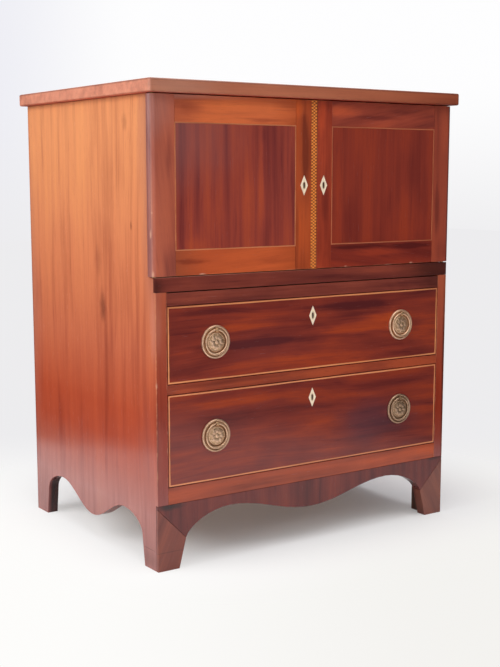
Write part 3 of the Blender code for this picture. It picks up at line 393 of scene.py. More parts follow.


# Top board
# One wide mahogany board with its long grain from side to side, overhanging the case on all sides.
# Its arrises are rounded by hand, its left end has faded, and use has dulled the polish of its upper face.
# It is painted darker towards the right, partly as shade, and its underside is tinted red to colour the shade
# of the gap below it.

# Along the board: pale at the faded left end, then darker to the right, partly painted shade of the light
# falling off.
TOP_FADE_AND_SHADE = ((-0.3225, (211, 136, 109)), (-0.3205, (211, 136, 109)), (-0.318, (189, 114, 83)),
            (0.0, (178, 101, 70)), (0.30, (148, 70, 43)))
# Up the edge: the underside is tinted red so that the shade in the gap under the top reads maroon, a painted
# colour of that shade; greyer just above it and darker near the upper arris.
TOP_GRIME_AND_SHADE = ((0.7609, (255, 130, 115)), (0.7614, (232, 210, 208)), (0.7635, WHITE), (0.7780, WHITE),
             (0.7808, (178, 168, 165)), (0.7819, (236, 226, 222)))
TOP_HANDLED = ((-0.27, -0.241, 0.771), (0.10, 0.02, 0.02), tint(176, 128, 108), 0.45)
TOP_WEAR, TOP_DULLED = (0.0014, 0.25), (0.7812, 0.7819, 0.38)
TOP_ARRIS, TOP_STEPS = 0.0038, 5
eased("top_board", polished("mahogany of top_board", WHITE, ALONG, seed=52.7, deep=(0.66, 0.6, 0.6),
                            glow=(1.2, 1.3, 1.3), stripe=1.3, cloud=0.7, polish=0.38, marks=(TOP_HANDLED,),
                            ramps=((0, TOP_FADE_AND_SHADE), (2, TOP_GRIME_AND_SHADE)), dulled=TOP_DULLED,
                            worn=(*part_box("top_board"), *TOP_WEAR)), TOP_ARRIS, TOP_STEPS)


# Door pivots
# Turned brass pins stand in the top board and in the steps of the sides, and the doors turn on them.
# They are driven in tight and don't show while the doors are shut.

def metal(name, bright, dull, gloss, dull_gloss, amount):
    """A metal with a duller bloom: fine and coarse noise choose between the two tints and roughnesses."""
    made = bpy.data.materials.new(name)
    made.use_nodes = True
    tree = made.node_tree
    shader = tree.nodes["Principled BSDF"]
    here = put(tree, "TexCoord").outputs["Object"]
    coarse = speckle(tree, here, (120, 120, 120), 2.0, detail=4, rough=0.6)["Fac"]
    fine = speckle(tree, here, (900, 900, 900), 5.0, detail=2)["Fac"]
    bloom = ramped(tree, reckon(tree, "MULTIPLY_ADD", reckon(tree, "SUBTRACT", fine, 0.5), 0.5, coarse),
                   1.0 - amount, 1.35 - amount)
    tree.links.new(mixed(tree, bloom, bright, dull), shader.inputs["Base Color"])
    sheen = put(tree, "MapRange", {"Value": bloom, "To Min": gloss, "To Max": dull_gloss}).outputs[0]
    tree.links.new(sheen, shader.inputs["Roughness"])
    shader.inputs["Metallic"].default_value = 1.0
    bump = put(tree, "Bump", {"Height": fine, "Strength": 0.3, "Distance": 0.0001})
    tree.links.new(bump.outputs[0], shader.inputs["Normal"])
    return made


old_brass = metal("old brass", tint(196, 160, 108), tint(120, 92, 56), 0.3, 0.55, 0.55)
PIN_ARRIS = 0.0002
for pin in ("pivot_left_top", "pivot_left_bottom", "pivot_right_top", "pivot_right_bottom"):
    eased(pin, old_brass, PIN_ARRIS)


# Doors
# Each door is a mahogany frame, stiles upright and rails across, round a flush panel of dark veneer with
# ribbon figure. The outer stiles are rounded to turn beside the case.

door_boxes = {}
for door in ("door_left", "door_right"):
    outer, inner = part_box(door + "_hinge_stile"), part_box(door + "_meeting_stile")
    door_boxes[door] = (Vector(map(min, outer[0], inner[0])), Vector(map(max, outer[1], inner[1])))
# Painted reflection: a greyish-mauve sheen high on the left door's frame and on its panel.
FRAME_SHEEN, PANEL_SHEEN = tint(172, 124, 114), tint(126, 92, 92)


def keyhole(piece):
    """Painted shade in and round a keyhole, as one dark mark at the middle of the piece's keyhole plate."""
    low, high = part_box(piece + "_escutcheon")
    return ((tuple((low + high) / 2), (0.004, 0.03, 0.009), SOOT_AND_SHADE, 1.0),)


# Across the rounded outer stiles: on the left a greyish-mauve band with a lighter streak, painted reflection
# and highlight; on the right a darker band where the round turns from the light, painted shade.
LEFT_ROUND_SHEEN = (0, ((-0.3160, (143, 84, 76)), (-0.3141, (150, 92, 84)), (-0.3132, (178, 114, 98)),
                    (-0.3123, (168, 98, 82)), (-0.3112, (176, 89, 64)), (-0.2725, (172, 83, 57))))
RIGHT_ROUND_SHADE = (0, ((0.2725, (152, 63, 41)), (0.3065, (152, 64, 43)), (0.3100, (112, 50, 42)),
                     (0.3160, (132, 64, 50))))
# Both doors' top rails are painted lighter than their bottom rails, to make up for the shade that the top
# board's overhang casts on them.
LEFT_TOP = (0, ((-0.2722, (178, 88, 57)), (-0.215, (211, 106, 60)), (-0.09, (216, 109, 62)),
                (-0.0383, (192, 90, 48))))
LEFT_LOW = (0, ((-0.2722, (152, 72, 46)), (-0.215, (182, 81, 45)), (-0.09, (186, 84, 46)),
                (-0.0383, (170, 75, 40))))
EVEN, STRONG = ((0.6, 0.52, 0.62), (1.2, 1.25, 1.1)), ((0.5, 0.46, 0.62), (1.5, 1.5, 1.1))
FRAME_POLISH, HINGE_POLISH = 0.17, 0.42
FRAME_ARRIS, PANEL_ARRIS, DOOR_WEAR = 0.0003, 0.0001, (0.0010, 0.25)
for seed, (door, piece, middle, turn, ramps, figure, marks) in enumerate((
        ("door_left", "hinge_stile", WHITE, (0, 8, 0), (LEFT_ROUND_SHEEN,),
         (((-0.290, 0.56), (0.02, 0.08), 0.15), ((-0.28, 0.50), (0.02, 0.05), -0.2),
          ((-0.283, 0.67), (0.008, 0.05), -0.3)),
         (((-0.30, 0.75), (0.04, 0.08), FRAME_SHEEN, 0.3), ((-0.3123, 0.482), (0.0022, 0.008), CHIP, 0.9),
          ((-0.3143, 0.545), (0.0012, 0.010), CHIP, 0.8), ((-0.3129, 0.578), (0.0015, 0.003), CHIP, 0.6))),
        ("door_left", "meeting_stile", (168, 73, 38), UPRIGHT, (),
         (((-0.021, 0.553), (0.025, 0.08), 0.2), ((-0.018, 0.690), (0.012, 0.10), -0.4),
          ((-0.03, 0.744), (0.02, 0.02), 0.3)), keyhole("door_left")),
        ("door_left", "top_rail", WHITE, ALONG, (LEFT_TOP,),
         (((-0.178, 0.742), (0.07, 0.012), 0.3), ((-0.245, 0.740), (0.03, 0.02), -0.2),
          ((-0.10, 0.724), (0.05, 0.006), -0.3)),
         (((-0.25, 0.7594), (0.14, 0.010), FRAME_SHEEN, 0.5),)),
        ("door_left", "bottom_rail", WHITE, (0, -86, 0), (LEFT_LOW,),
         (((-0.245, 0.500), (0.04, 0.008), -0.5), ((-0.16, 0.504), (0.06, 0.010), 0.1),
          ((-0.08, 0.495), (0.05, 0.008), -0.4)),
         (((-0.2229, 0.4795), (0.008, 0.0022), CHIP, 0.9),)),
        ("door_right", "hinge_stile", WHITE, UPRIGHT, (RIGHT_ROUND_SHADE,),
         (((0.300, 0.718), (0.02, 0.06), 0.4), ((0.284, 0.573), (0.012, 0.07), -0.5),
          ((0.295, 0.50), (0.02, 0.03), -0.3)), ()),
        ("door_right", "meeting_stile", (166, 64, 39), UPRIGHT, (),
         (((0.016, 0.735), (0.014, 0.05), 0.4), ((0.025, 0.60), (0.012, 0.06), -0.25)),
         keyhole("door_right")),
        # Painted lighter than the bottom rail, to make up for the shade under the top's overhang.
        ("door_right", "top_rail", (160, 69, 49), (0, -80, 0), (),
         (((0.057, 0.743), (0.05, 0.014), 0.6), ((0.240, 0.743), (0.09, 0.012), -0.3),
          ((0.15, 0.734), (0.08, 0.006), -0.3)), ()),
        ("door_right", "bottom_rail", (124, 44, 33), (0, -99, 0), (),
         (((0.150, 0.502), (0.08, 0.010), 0.6), ((0.228, 0.511), (0.065, 0.008), -0.9),
          ((0.09, 0.512), (0.07, 0.005), -0.5)),
         (((0.0707, 0.4795), (0.004, 0.0018), CHIP, 0.6), ((0.2223, 0.4795), (0.005, 0.0022), CHIP, 0.8),
          ((0.168, 0.4788), (0.012, 0.0008), CHIP, 0.6))))):
    bar = f"{door}_{piece}"
    deep, glow = EVEN if middle == WHITE else STRONG
    eased(bar, polished("mahogany of " + bar, middle, turn, seed=60.0 + 2.3 * seed, deep=deep, glow=glow,
                        stripe=1.4, cloud=1.1, figure=figure, marks=marks, ramps=ramps,
                        polish=HINGE_POLISH if piece == "hinge_stile" else FRAME_POLISH,
                        worn=(*door_boxes[door], *DOOR_WEAR)), FRAME_ARRIS)
for door, middle, seed, stripe, figure, marks in (
        ("door_left", (146, 61, 48), 83.0, 1.7,
         (((-0.106, 0.704), (0.010, 0.024), -0.15), ((-0.228, 0.610), (0.014, 0.12), -0.3),
          ((-0.262, 0.66), (0.010, 0.07), -0.2), ((-0.190, 0.540), (0.010, 0.06), -0.25),
          ((-0.114, 0.596), (0.04, 0.07), 0.2), ((-0.042, 0.620), (0.009, 0.12), -0.35),
          ((-0.235, 0.525), (0.03, 0.02), 0.25)),
         (((-0.27, 0.71), (0.15, 0.14), PANEL_SHEEN, 0.35),)),
        ("door_right", (136, 50, 35), 86.5, 1.0,
         (((0.215, 0.650), (0.030, 0.07), -0.2), ((0.162, 0.654), (0.025, 0.10), 0.12),
          ((0.077, 0.550), (0.015, 0.08), -0.25), ((0.215, 0.56), (0.05, 0.06), 0.18)), ())):
    eased(door + "_panel", polished(f"veneer of {door}_panel", middle, UPRIGHT, seed=seed,
                                    deep=(0.5, 0.46, 0.72), glow=(1.45, 1.45, 0.9), stripe=stripe, cloud=0.5,
                                    wander=0.02, figure=figure, marks=marks), PANEL_ARRIS)


# Inlaid lines
# Thin strips of box wood are let into the face, round each door panel and just inside the edges of each
# drawer front. They are cut by hand, so their width wanders a little.

SAME_POINT = 1e-7


def surface(name, points, wrap=(False, False), **attributes):
    """A mesh from a grid of points, rows by columns by three, with quads between neighbours. wrap closes it
    along rows or columns. Equal points, as at a pole, are merged. attributes are values for each point."""
    rows, columns = points.shape[:2]
    down, across = np.meshgrid(np.arange(rows if wrap[0] else rows - 1),
                               np.arange(columns if wrap[1] else columns - 1), indexing="ij")
    below, beside = (down + 1) % rows, (across + 1) % columns
    quads = np.stack([down * columns + across, down * columns + beside,
                      below * columns + beside, below * columns + across], -1).reshape(-1, 4)
    mesh = bpy.data.meshes.new(name)
    mesh.from_pydata(points.reshape(-1, 3), [], quads)
    for attribute, values in attributes.items():
        stored = mesh.attributes.new(attribute, "FLOAT", "POINT").data
        stored.foreach_set("value", values.ravel().astype(np.float32))
    work = bmesh.new()
    work.from_mesh(mesh)
    bmesh.ops.remove_doubles(work, verts=work.verts, dist=SAME_POINT)
    bmesh.ops.recalc_face_normals(work, faces=work.faces)
    work.to_mesh(mesh)
    work.free()
    mesh.shade_smooth()
    made = bpy.data.objects.new(name, mesh)
    bpy.context.scene.collection.objects.link(made)
    return made


def inlaid_line(name, low, high, face, width, proud, sunk, seed, steps=48):
    """A flat strip round a rectangle from low to high in X and Z, its outer edge on the rectangle. The path
    runs corner to corner, and the section, with rounded shoulders, is carried along it and mitred, because
    each point moves in from both sides alike. Two slow sines let the width wander."""
    along = np.arange(4 * steps) / steps
    corner = np.array(((low[0], low[1]), (high[0], low[1]), (high[0], high[1]), (low[0], high[1])))
    inward = np.array(((1, 1), (-1, 1), (-1, -1), (1, -1)))
    start, share = along.astype(int) % 4, (along % 1)[:, None]
    line = corner[start] * (1 - share) + corner[(start + 1) % 4] * share
    steer = inward[start] * (1 - share) + inward[(start + 1) % 4] * share
    wander = 1 + 0.07 * np.sin(along * 11 + seed) + 0.05 * np.sin(along * 29 + 2 * seed)
    section = np.array(((0, sunk), (0, -0.4 * proud), (0.12, -proud), (0.88, -proud), (1, -0.4 * proud),
                        (1, sunk)))
    offset = steer[:, None, :] * (section[:, 0] * width)[None, :, None] * wander[:, None, None]
    flat = line[:, None, :] + offset
    depth = np.broadcast_to(face + section[:, 1], flat.shape[:2])
    points = np.stack([flat[..., 0], depth, flat[..., 1]], -1)
    return surface(name, points, (True, True))


LINE_PROUD, LINE_SUNK = 0.00012, 0.0006
for seed, (line, body, carrier, inset, width, middle) in enumerate((
        ("left_door_line", "door_left", "door_left_panel", -0.0004, 0.0018, (190, 112, 70)),
        ("right_door_line", "door_right", "door_right_panel", -0.0004, 0.0018, (178, 98, 62)),
        ("upper_drawer_line", "drawer_upper", "drawer_upper_front", 0.0008, 0.0023, (215, 136, 84)),
        ("lower_drawer_line", "drawer_lower", "drawer_lower_front", 0.0008, 0.0023, (211, 132, 84)))):
    low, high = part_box(carrier)
    strip = inlaid_line(line, (low.x + inset, low.z + inset), (high.x - inset, high.z - inset), low.y,
                        width, LINE_PROUD, LINE_SUNK, seed)
    strip.data.materials.append(polished("box wood of " + line, middle, ALONG, seed=90.0 + 3 * seed,
                                         deep=(0.66, 0.56, 0.5), glow=(1.25, 1.35, 1.4), stripe=0.8,
                                         cloud=1.4, wander=0.02, polish=0.3))
    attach(strip, body)


# Meeting band
# A band of small squares, box wood and dark wood by turns, covers the left door's meeting edge.
# It is built up as a thin strip, glued on and scraped flush.

BAND_WIDTH, SQUARES_ACROSS, SQUARE_FLATNESS = 0.0113, 3, 1.4
BOX_SQUARE, DARK_SQUARE, BAND_GRIME = tint(246, 150, 68), tint(134, 55, 22), tint(170, 92, 46)
HAND_CUT, BAND_ARRIS = 0.0007, 0.0001
SQUARE = BAND_WIDTH / SQUARES_ACROSS
band = bpy.data.materials.new("chequered band")
band.use_nodes = True
tree = band.node_tree
here = put(tree, "TexCoord").outputs["Object"]
shaken = vector(tree, "ADD", here, vector(tree, "SCALE", vector(
    tree, "SUBTRACT", speckle(tree, here, (300, 300, 300), 1.0)["Color"], (0.5,) * 3), HAND_CUT))
flat = vector(tree, "ADD", vector(tree, "MULTIPLY", shaken, (1, 0, SQUARE_FLATNESS)),
              (SQUARES_ACROSS / 2 * SQUARE, SQUARE / 2, 0.0))
squares = put(tree, "TexChecker", {"Vector": flat, "Color1": BOX_SQUARE, "Color2": DARK_SQUARE,
                                   "Scale": 1 / SQUARE})
blotch = speckle(tree, here, (60, 60, 60), 4.0, detail=4)["Fac"]
aged = mixed(tree, ramped(tree, blotch, 0.5, 0.95), squares.outputs["Color"], BAND_GRIME)
shader = tree.nodes["Principled BSDF"]
tree.links.new(aged, shader.inputs["Base Color"])
tree.links.new(put(tree, "MapRange", {"Value": blotch, "To Min": 0.2, "To Max": 0.4}).outputs[0],
               shader.inputs["Roughness"])
eased("meeting_band", band, BAND_ARRIS)


# Keyhole plates
# Diamonds of polished bone are let in round each keyhole, yellowed towards the hole by handling.
# They are sawn from a thin plate, glued in and scraped level with the wood.

PALE_BONE, STREAK = tint(255, 238, 210), tint(254, 224, 188)
YELLOWED, BONE_KEYHOLE_SHADE = tint(190, 164, 116), tint(52, 40, 20)
BONE_ARRIS = 0.00015


def bone(name, hole):
    """Bone: pale, with fine upright streaks, yellow round the keyhole at hole, and black at its edge as
    painted shade of the opening.
    """
    made = bpy.data.materials.new(name)
    made.use_nodes = True
    tree = made.node_tree
    shader = tree.nodes["Principled BSDF"]
    here = put(tree, "TexCoord").outputs["Object"]
    streaks = speckle(tree, here, (900, 900, 60), 1.0, detail=3)["Fac"]
    pale = mixed(tree, ramped(tree, streaks, 0.35, 0.7), PALE_BONE, STREAK)
    handled = soft_spot(tree, here, hole, (0.006, 0.02, 0.011), 0.5)
    pale = mixed(tree, reckon(tree, "MULTIPLY", handled, 0.45), pale, YELLOWED)
    # Painted shade: black at the keyhole's edge.
    pale = mixed(tree, soft_spot(tree, here, hole, (0.0036, 0.02, 0.0080), 0.2), pale, BONE_KEYHOLE_SHADE)
    tree.links.new(pale, shader.inputs["Base Color"])
    tree.links.new(put(tree, "MapRange", {"Value": streaks, "To Min": 0.22, "To Max": 0.4}).outputs[0],
                   shader.inputs["Roughness"])
    return made


for holder in ("door_left", "door_right", "drawer_upper", "drawer_lower"):
    plate = holder + "_escutcheon"
    low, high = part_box(plate)
    eased(plate, bone("bone of " + plate, (low + high) / 2), BONE_ARRIS)


# Locks and bolts
# Brass lock cases are let into the backs of the right door and of the drawer fronts, each with an iron bolt
# that slides. The left door has a brass bolt that slides up into the top.

iron = metal("dull iron", tint(122, 118, 112), tint(84, 62, 50), 0.42, 0.75, 0.62)
LOCK_ARRIS = 0.0003
for lock in ("door_lock", "drawer_upper_lock", "drawer_lower_lock"):
    eased(lock, old_brass, LOCK_ARRIS)
    eased(lock + "_bolt", iron, LOCK_ARRIS)
eased("left_door_bolt", old_brass, LOCK_ARRIS)


# Drawers
# The fronts are dark mahogany with a cloudy figure along their length. Sides, backs and bottoms are
# pale wood, dovetailed and grooved.

DUSKY, PURPLED = tint(104, 50, 52), tint(90, 52, 60)
FRONT_ARRIS, INNER_ARRIS = 0.0002, 0.0004
for drawer, middle, seed, figure, marks in (
        ("drawer_upper", (131, 51, 38), 111.0,
         (((-0.110, 0.360), (0.20, 0.011), -0.5), ((0.107, 0.370), (0.13, 0.016), 0.5),
          ((0.174, 0.386), (0.09, 0.014), 0.4), ((-0.146, 0.388), (0.12, 0.011), 0.4),
          ((0.085, 0.409), (0.17, 0.011), -0.45), ((0.236, 0.317), (0.12, 0.010), -0.3),
          ((-0.250, 0.345), (0.08, 0.02), 0.15), ((-0.199, 0.418), (0.16, 0.009), -0.35),
          ((0.265, 0.370), (0.04, 0.04), 0.15), ((-0.09, 0.325), (0.16, 0.012), 0.2)),
         (((-0.10, 0.350), (0.14, 0.05), DUSKY, 0.25),)),
        ("drawer_lower", (123, 47, 36), 117.0,
         (((-0.172, 0.266), (0.14, 0.012), 0.4), ((-0.059, 0.240), (0.20, 0.012), -0.2),
          ((0.040, 0.205), (0.12, 0.016), 0.2), ((0.149, 0.195), (0.16, 0.05), -0.3),
          ((0.180, 0.262), (0.18, 0.014), -0.35), ((-0.22, 0.17), (0.14, 0.02), 0.15)),
         (((0.14, 0.200), (0.12, 0.06), PURPLED, 0.55),))):
    eased(drawer + "_front", polished(f"veneer of {drawer}_front", middle, ALONG, seed=seed,
                                      deep=(0.40, 0.45, 0.75), glow=(1.8, 1.75, 0.8), stripe=0.9, cloud=1.2,
                                      wander=0.06, figure=figure, marks=marks + keyhole(drawer)), FRONT_ARRIS)
    for number, (part, turn) in enumerate((("side_left", DEEP), ("side_right", DEEP), ("back", ALONG),
                                           ("bottom", ALONG))):
        board = f"{drawer}_{part}"
        eased(board, polished("bare wood of " + board, BARE, turn, seed=seed + 30 + number, wander=0.04,
                              polish=0.58, **BARE_GRAIN), INNER_ARRIS)


# Ring handles
# A round cast plate with a raised rim and a domed rosette is bolted through the drawer front, with its nut
# inside. A ring hangs in an eye at the top and rests in the channel. All brass, dull and a little grey.

RIM, RIM_RISE, RIM_SEAT = (0.0273, 0.0232), 0.0021, 0.0003  # outer and inner radius, height, back
CHANNEL, CHANNEL_FLOOR, MEDALLION, DOME_RISE, RELIEF = 0.0015, 0.0014, 0.0173, 0.0037, 0.00085
POST, NUT, NUT_CHAMFER, NUT_DEPTHS = 0.003, 0.0062, 0.0056, (-0.0203, -0.0240, -0.0243)
EYE, EYE_HALF, EYE_SQUARENESS = (0.00235, 0.0036), 0.0025, 0.6  # bore and outer radius, half length
RING, WIRE, WIRE_SWELL = 0.0199, 0.0019, 0.00025
CHANNEL_EDGES = (0.0178, 0.0190, 0.0220, 0.0230)
DOME_STEPS, RIM_STEPS, PLATE_TURNS = 46, 15, 168
EYE_GRID, RING_GRID = (24, 28), (96, 20)


def full_turn(steps):
    """Angles round a full turn, in equal steps."""
    return np.linspace(0, 2 * math.pi, steps, endpoint=False)


def plate_points(centre, face):
    """A turned shell: a half section of radius and height, from the crown of the rosette over channel and rim
    to the nut, is carried round the axis. On the dome eight petals, leaves, a bead ring and a centre boss are
    added to the height as cosines of the angle. Gives the points and how hollow each one is."""
    dome = np.linspace(0, 1, DOME_STEPS)
    channel = np.stack([CHANNEL_EDGES, (CHANNEL, CHANNEL_FLOOR, CHANNEL_FLOOR, CHANNEL)], -1)
    bead = np.linspace(0, math.pi, RIM_STEPS)
    rim_radius = RIM[1] + (RIM[0] - RIM[1]) / 2 * (1 - np.cos(bead))
    rim_height = CHANNEL + RIM_RISE * np.sin(bead)
    back = np.array(((RIM[0], RIM_SEAT), (POST, RIM_SEAT), (POST, NUT_DEPTHS[0]), (NUT, NUT_DEPTHS[0]),
                     (NUT, NUT_DEPTHS[1]), (NUT_CHAMFER, NUT_DEPTHS[2]), (0.0, NUT_DEPTHS[2])))
    dome_height = CHANNEL + DOME_RISE * np.sqrt(np.clip(1 - dome ** 4, 0, 1))
    radius = np.concatenate([dome * MEDALLION, channel[:, 0], rim_radius, back[:, 0]])
    height = np.concatenate([dome_height, channel[:, 1], rim_height, back[:, 1]])
    angle = full_turn(PLATE_TURNS)
    share = radius[:, None] / MEDALLION
    place = np.arange(len(radius))
    on_dome = (place < len(dome))[:, None]
    petal = np.exp(-((share - 0.47) / 0.17) ** 2) * (0.35 + 0.65 * np.abs(np.cos(4 * angle))[None, :] ** 0.7)
    leaf = np.exp(-((share - 0.70) / 0.07) ** 2) * np.clip(np.sin(8 * angle), 0, 1)[None, :] * 0.6
    beads = np.exp(-((share - 0.87) / 0.05) ** 2) * (0.35 + 0.65 * np.cos(16 * angle)[None, :] ** 2)
    boss = np.exp(-(share / 0.17) ** 4) * 1.15
    relief = (petal + leaf + beads + boss) * on_dome
    lifted = height[:, None] + RELIEF * (relief - 0.35 * on_dome * (share < 0.95))
    around = np.broadcast_to(angle[None, :], lifted.shape)
    wide = np.broadcast_to(radius[:, None], lifted.shape)
    points = np.stack([centre[0] + wide * np.sin(around), face - lifted,
                       centre[1] + wide * np.cos(around)], -1)
    sunk = np.where(on_dome, 1 - np.clip(relief * 1.15, 0, 1), 0.0)
    in_channel = (place >= len(dome) - 3) & (place < len(dome) + len(channel) + 2)
    sunk = np.maximum(sunk * (share < 1.0), np.where(in_channel, 0.9, 0.0)[:, None])
    return points, np.broadcast_to(sunk, lifted.shape)


def eye_points(pivot):
    """A short bored barrel along X through the ring's pivot: a rounded oblong section, from the bore to the
    outside, carried round X. The bore clears the ring's wire."""
    turn, angle = map(full_turn, EYE_GRID)
    across, out = (np.sign(wave) * np.abs(wave) ** EYE_SQUARENESS for wave in (np.cos(turn), np.sin(turn)))
    radius = ((EYE[0] + EYE[1]) / 2 + (EYE[1] - EYE[0]) / 2 * out)[:, None]
    x = np.broadcast_to((pivot[0] + EYE_HALF * across)[:, None], EYE_GRID)
    return np.stack([x, pivot[1] + radius * np.cos(angle), pivot[2] + radius * np.sin(angle)], -1)


def ring_points(pivot):
    """A ring hung from its pivot: a circle carried round a circle, a little thicker at the bottom."""
    large, small = np.meshgrid(*map(full_turn, RING_GRID), indexing="ij")
    wire = WIRE - WIRE_SWELL * np.cos(large)
    out = RING + wire * np.cos(small)
    return np.stack([pivot[0] + out * np.sin(large), pivot[1] + wire * np.sin(small),
                     pivot[2] - RING + out * np.cos(large)], -1)


RUBBED_BRASS, DULL_BRASS, BROWN_BRASS = tint(216, 180, 150), tint(190, 154, 124), tint(190, 154, 118)


def cast_brass(name, worn):
    """Aged brass: paler where it is rubbed, brown in the hollows that the mesh marks, with a fine bloom. worn
    multiplies its colour as painted light: each handle is made lighter or darker to match how it catches the
    light."""
    made = metal(name, RUBBED_BRASS, DULL_BRASS, 0.45, 0.6, 0.6)
    tree = made.node_tree
    shader = tree.nodes["Principled BSDF"]
    hollow = put(tree, "Attribute", attribute_name="hollow").outputs["Fac"]
    bright = shader.inputs["Base Color"].links[0].from_socket
    colour = mixed(tree, ramped(tree, hollow, 0.25, 1.0), bright, BROWN_BRASS)
    tree.links.new(mixed(tree, 1.0, colour, (worn, worn, worn, 1.0), "MULTIPLY"), shader.inputs["Base Color"])
    return made


# Each handle's share is painted light, lighter or darker as it catches the light.
for drawer, handle_light in (("drawer_upper", (1.18, 1.32)), ("drawer_lower", (1.08, 0.80))):
    for hand, worn in zip(("left", "right"), handle_light):
        handle_brass = cast_brass(f"cast brass of {drawer}_{hand}", worn)
        low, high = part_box(f"{drawer}_ring_{hand}")
        pivot = ((low.x + high.x) / 2, (low.y + high.y) / 2, high.z - WIRE)
        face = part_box(drawer + "_front")[0].y
        points, sunk = plate_points((pivot[0], pivot[2] - RING), face)
        plate = surface(f"{drawer}_handle_plate_{hand}", points, (False, True), hollow=sunk)
        eye = surface(f"{drawer}_handle_eye_{hand}", eye_points(pivot), (True, True),
                      hollow=np.ones(EYE_GRID))
        ring = surface(f"{drawer}_handle_ring_{hand}", ring_points(pivot), (True, True),
                       hollow=np.zeros(RING_GRID))
        for piece, body in ((plate, drawer), (eye, drawer), (ring, f"{drawer}_ring_{hand}")):
            piece.data.materials.append(handle_brass)
            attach(piece, body)
        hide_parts(f"{drawer}_plate_{hand}")
        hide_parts(f"{drawer}_ring_{hand}")


# Floor, light and camera
# A roll of white paper runs out from the camera and under the cabinet. Soft lamps stand on the
# left, above and in front. The room past the paper is dim, but the camera sees white there too.

PHOTO_ROWS, FOCAL_ROWS, RAISED_ROWS, SENSOR = 667, 1179.06, 17.37, 36.0
YAW, PITCH = 0.6022, 0.1473
EDGE_LEFT, EDGE_RIGHT, EDGE_SOFT = -0.89, 0.93, 0.03
STAND_MIDDLE, STAND_HALF = (0.10, 0.0625, 0.0), (0.20, 0.1475, 0.0)
# Painted light: the near white glow is paler on the left than on the right.
NEAR_LEFT, NEAR_RIGHT = (0.985, 0.978, 0.962, 1.0), (0.905, 0.893, 0.868, 1.0)
FAR_WHITE = (0.845, 0.84, 0.855, 1.0)
HIGH_LEFT, HIGH_RIGHT = (0.85, 0.85, 0.905, 1.0), (0.99, 0.988, 0.995, 1.0)
PAPER, ROOM_FLOOR = (0.86, 0.86, 0.87, 1.0), (0.06, 0.06, 0.06, 1.0)
ROOM, ROOM_MIRRORED = (0.36, 0.36, 0.38, 1.0), (0.10, 0.10, 0.10, 1.0)
FLOOR_HALF, FLOOR_POINTS = 9, 19


def along_roll(tree, place):
    """A place measured across the paper roll and along it, away from the camera."""
    turned = put(tree, "Mapping", {"Vector": place, "Rotation": (0.0, 0.0, YAW)}).outputs[0]
    return put(tree, "SeparateXYZ", {0: turned}).outputs[:2]


def paper():
    """White paper with the dim room floor past its edges. Away from where the cabinet stands, the camera sees
    a plain white glow, painted paler on the left and greyer behind as falloff of light, and a little of that
    glow lies over the near paper too, painted light that lifts the cabinet's shadow."""
    made = bpy.data.materials.new("white paper")
    made.use_nodes = True
    tree = made.node_tree
    here = put(tree, "TexCoord").outputs["Object"]
    across, ahead = along_roll(tree, here)
    sheet = reckon(tree, "MULTIPLY", ramped(tree, across, EDGE_LEFT - EDGE_SOFT, EDGE_LEFT + EDGE_SOFT),
                   ramped(tree, across, EDGE_RIGHT + EDGE_SOFT, EDGE_RIGHT - EDGE_SOFT))
    shader = tree.nodes["Principled BSDF"]
    tree.links.new(mixed(tree, sheet, ROOM_FLOOR, PAPER), shader.inputs["Base Color"])
    shader.inputs["Roughness"].default_value = 0.9
    shader.inputs["Specular IOR Level"].default_value = 0.1
    aside = vector(tree, "ABSOLUTE", vector(tree, "SUBTRACT", here, STAND_MIDDLE), (0, 0, 0))
    past = vector(tree, "MAXIMUM", vector(tree, "SUBTRACT", aside, STAND_HALF), (0, 0, 0))
    distance = vector(tree, "LENGTH", past, (0, 0, 0), "Value")
    far = reckon(tree, "MULTIPLY", put(tree, "LightPath").outputs["Is Camera Ray"],
                 reckon(tree, "MULTIPLY_ADD", ramped(tree, distance, 0.0, 0.38), 0.935, 0.065))
    near = mixed(tree, ramped(tree, across, -0.30, 0.35), NEAR_LEFT, NEAR_RIGHT)
    behind = reckon(tree, "MAXIMUM", ramped(tree, ahead, -0.05, 0.72), ramped(tree, distance, 0.8, 4.0))
    white = put(tree, "Emission", {"Color": mixed(tree, behind, near, FAR_WHITE)})
    shown = put(tree, "MixShader", {0: far, 1: shader.outputs[0], 2: white.outputs[0]})
    tree.links.new(shown.outputs[0], tree.nodes["Material Output"].inputs["Surface"])
    return made


span = np.linspace(-FLOOR_HALF, FLOOR_HALF, FLOOR_POINTS)
floor = surface("floor", np.stack([*np.meshgrid(span, span, indexing="ij"),
                                   np.zeros((FLOOR_POINTS, FLOOR_POINTS))], -1))
floor.data.materials.append(paper())

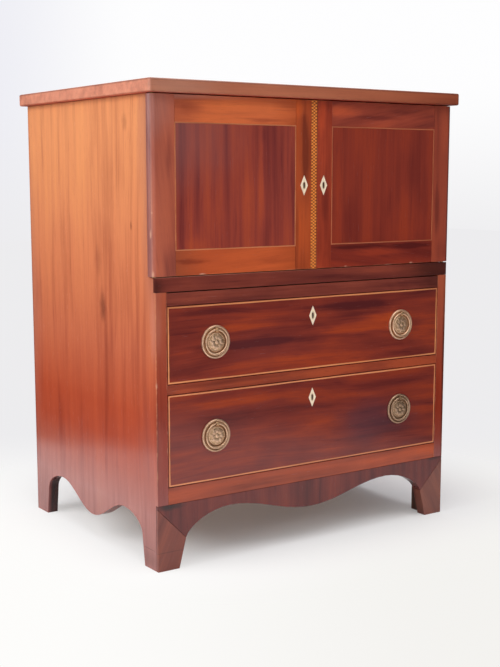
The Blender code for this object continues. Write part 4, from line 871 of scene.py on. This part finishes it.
world = bpy.data.worlds.new("studio")
bpy.context.scene.world = world
world.use_nodes = True
tree = world.node_tree
way = put(tree, "TexCoord").outputs["Generated"]
ray = put(tree, "LightPath").outputs
across, ahead = along_roll(tree, way)
spread = reckon(tree, "DIVIDE", reckon(tree, "ABSOLUTE", across), reckon(tree, "MAXIMUM", ahead, 0.01))
mirrored = reckon(tree, "MAXIMUM", ray["Is Glossy Ray"], ray["Is Transmission Ray"])
faint = reckon(tree, "MULTIPLY", ramped(tree, spread, 0.7, 0.5), 0.5)
shown = reckon(tree, "MAXIMUM", ray["Is Camera Ray"], reckon(tree, "MULTIPLY", mirrored, faint))
# Painted falloff of light on the backdrop: the white that the camera sees is greyer and bluer high on the
# left, and greyer towards and below the horizon.
high = mixed(tree, ramped(tree, across, -0.225, -0.085), HIGH_LEFT, HIGH_RIGHT)
up = put(tree, "SeparateXYZ", {0: way}).outputs[2]
white = mixed(tree, ramped(tree, up, -0.09, 0.09), FAR_WHITE, high)
room = mixed(tree, mirrored, ROOM, ROOM_MIRRORED)
tree.links.new(mixed(tree, shown, room, white), tree.nodes["Background"].inputs["Color"])

for name, place, aim, size, power in (("left lamp", (-1.9, 0.2, 1.4), (-0.2, 0.0, 0.4), 1.5, 32.0),
                                      ("top lamp", (0.0, -0.7, 2.5), (0.0, -0.2, 0.0), 2.4, 46.0),
                                      ("front lamp", (-0.9, -2.7, 0.9), (0.0, -0.2, 0.3), 1.3, 12.0)):
    light = bpy.data.lights.new(name, "AREA")
    light.size = size
    light.energy = power
    lamp = bpy.data.objects.new(name, light)
    lamp.location = place
    lamp.rotation_euler = (Vector(aim) - Vector(place)).to_track_quat("-Z", "Y").to_euler()
    lamp.visible_camera = False
    bpy.context.scene.collection.objects.link(lamp)

camera = bpy.data.objects.new("camera", bpy.data.cameras.new("camera"))
camera.data.sensor_fit = "VERTICAL"
camera.data.sensor_height = SENSOR
camera.data.lens = FOCAL_ROWS * SENSOR / PHOTO_ROWS
camera.data.shift_y = RAISED_ROWS / PHOTO_ROWS
camera.location = (-1.2258, -1.8232, 0.6345)
camera.rotation_euler = (math.pi / 2 - PITCH, 0.0, -YAW)
bpy.context.scene.collection.objects.link(camera)
bpy.context.scene.camera = camera
bpy.context.scene.view_settings.view_transform = "Standard"
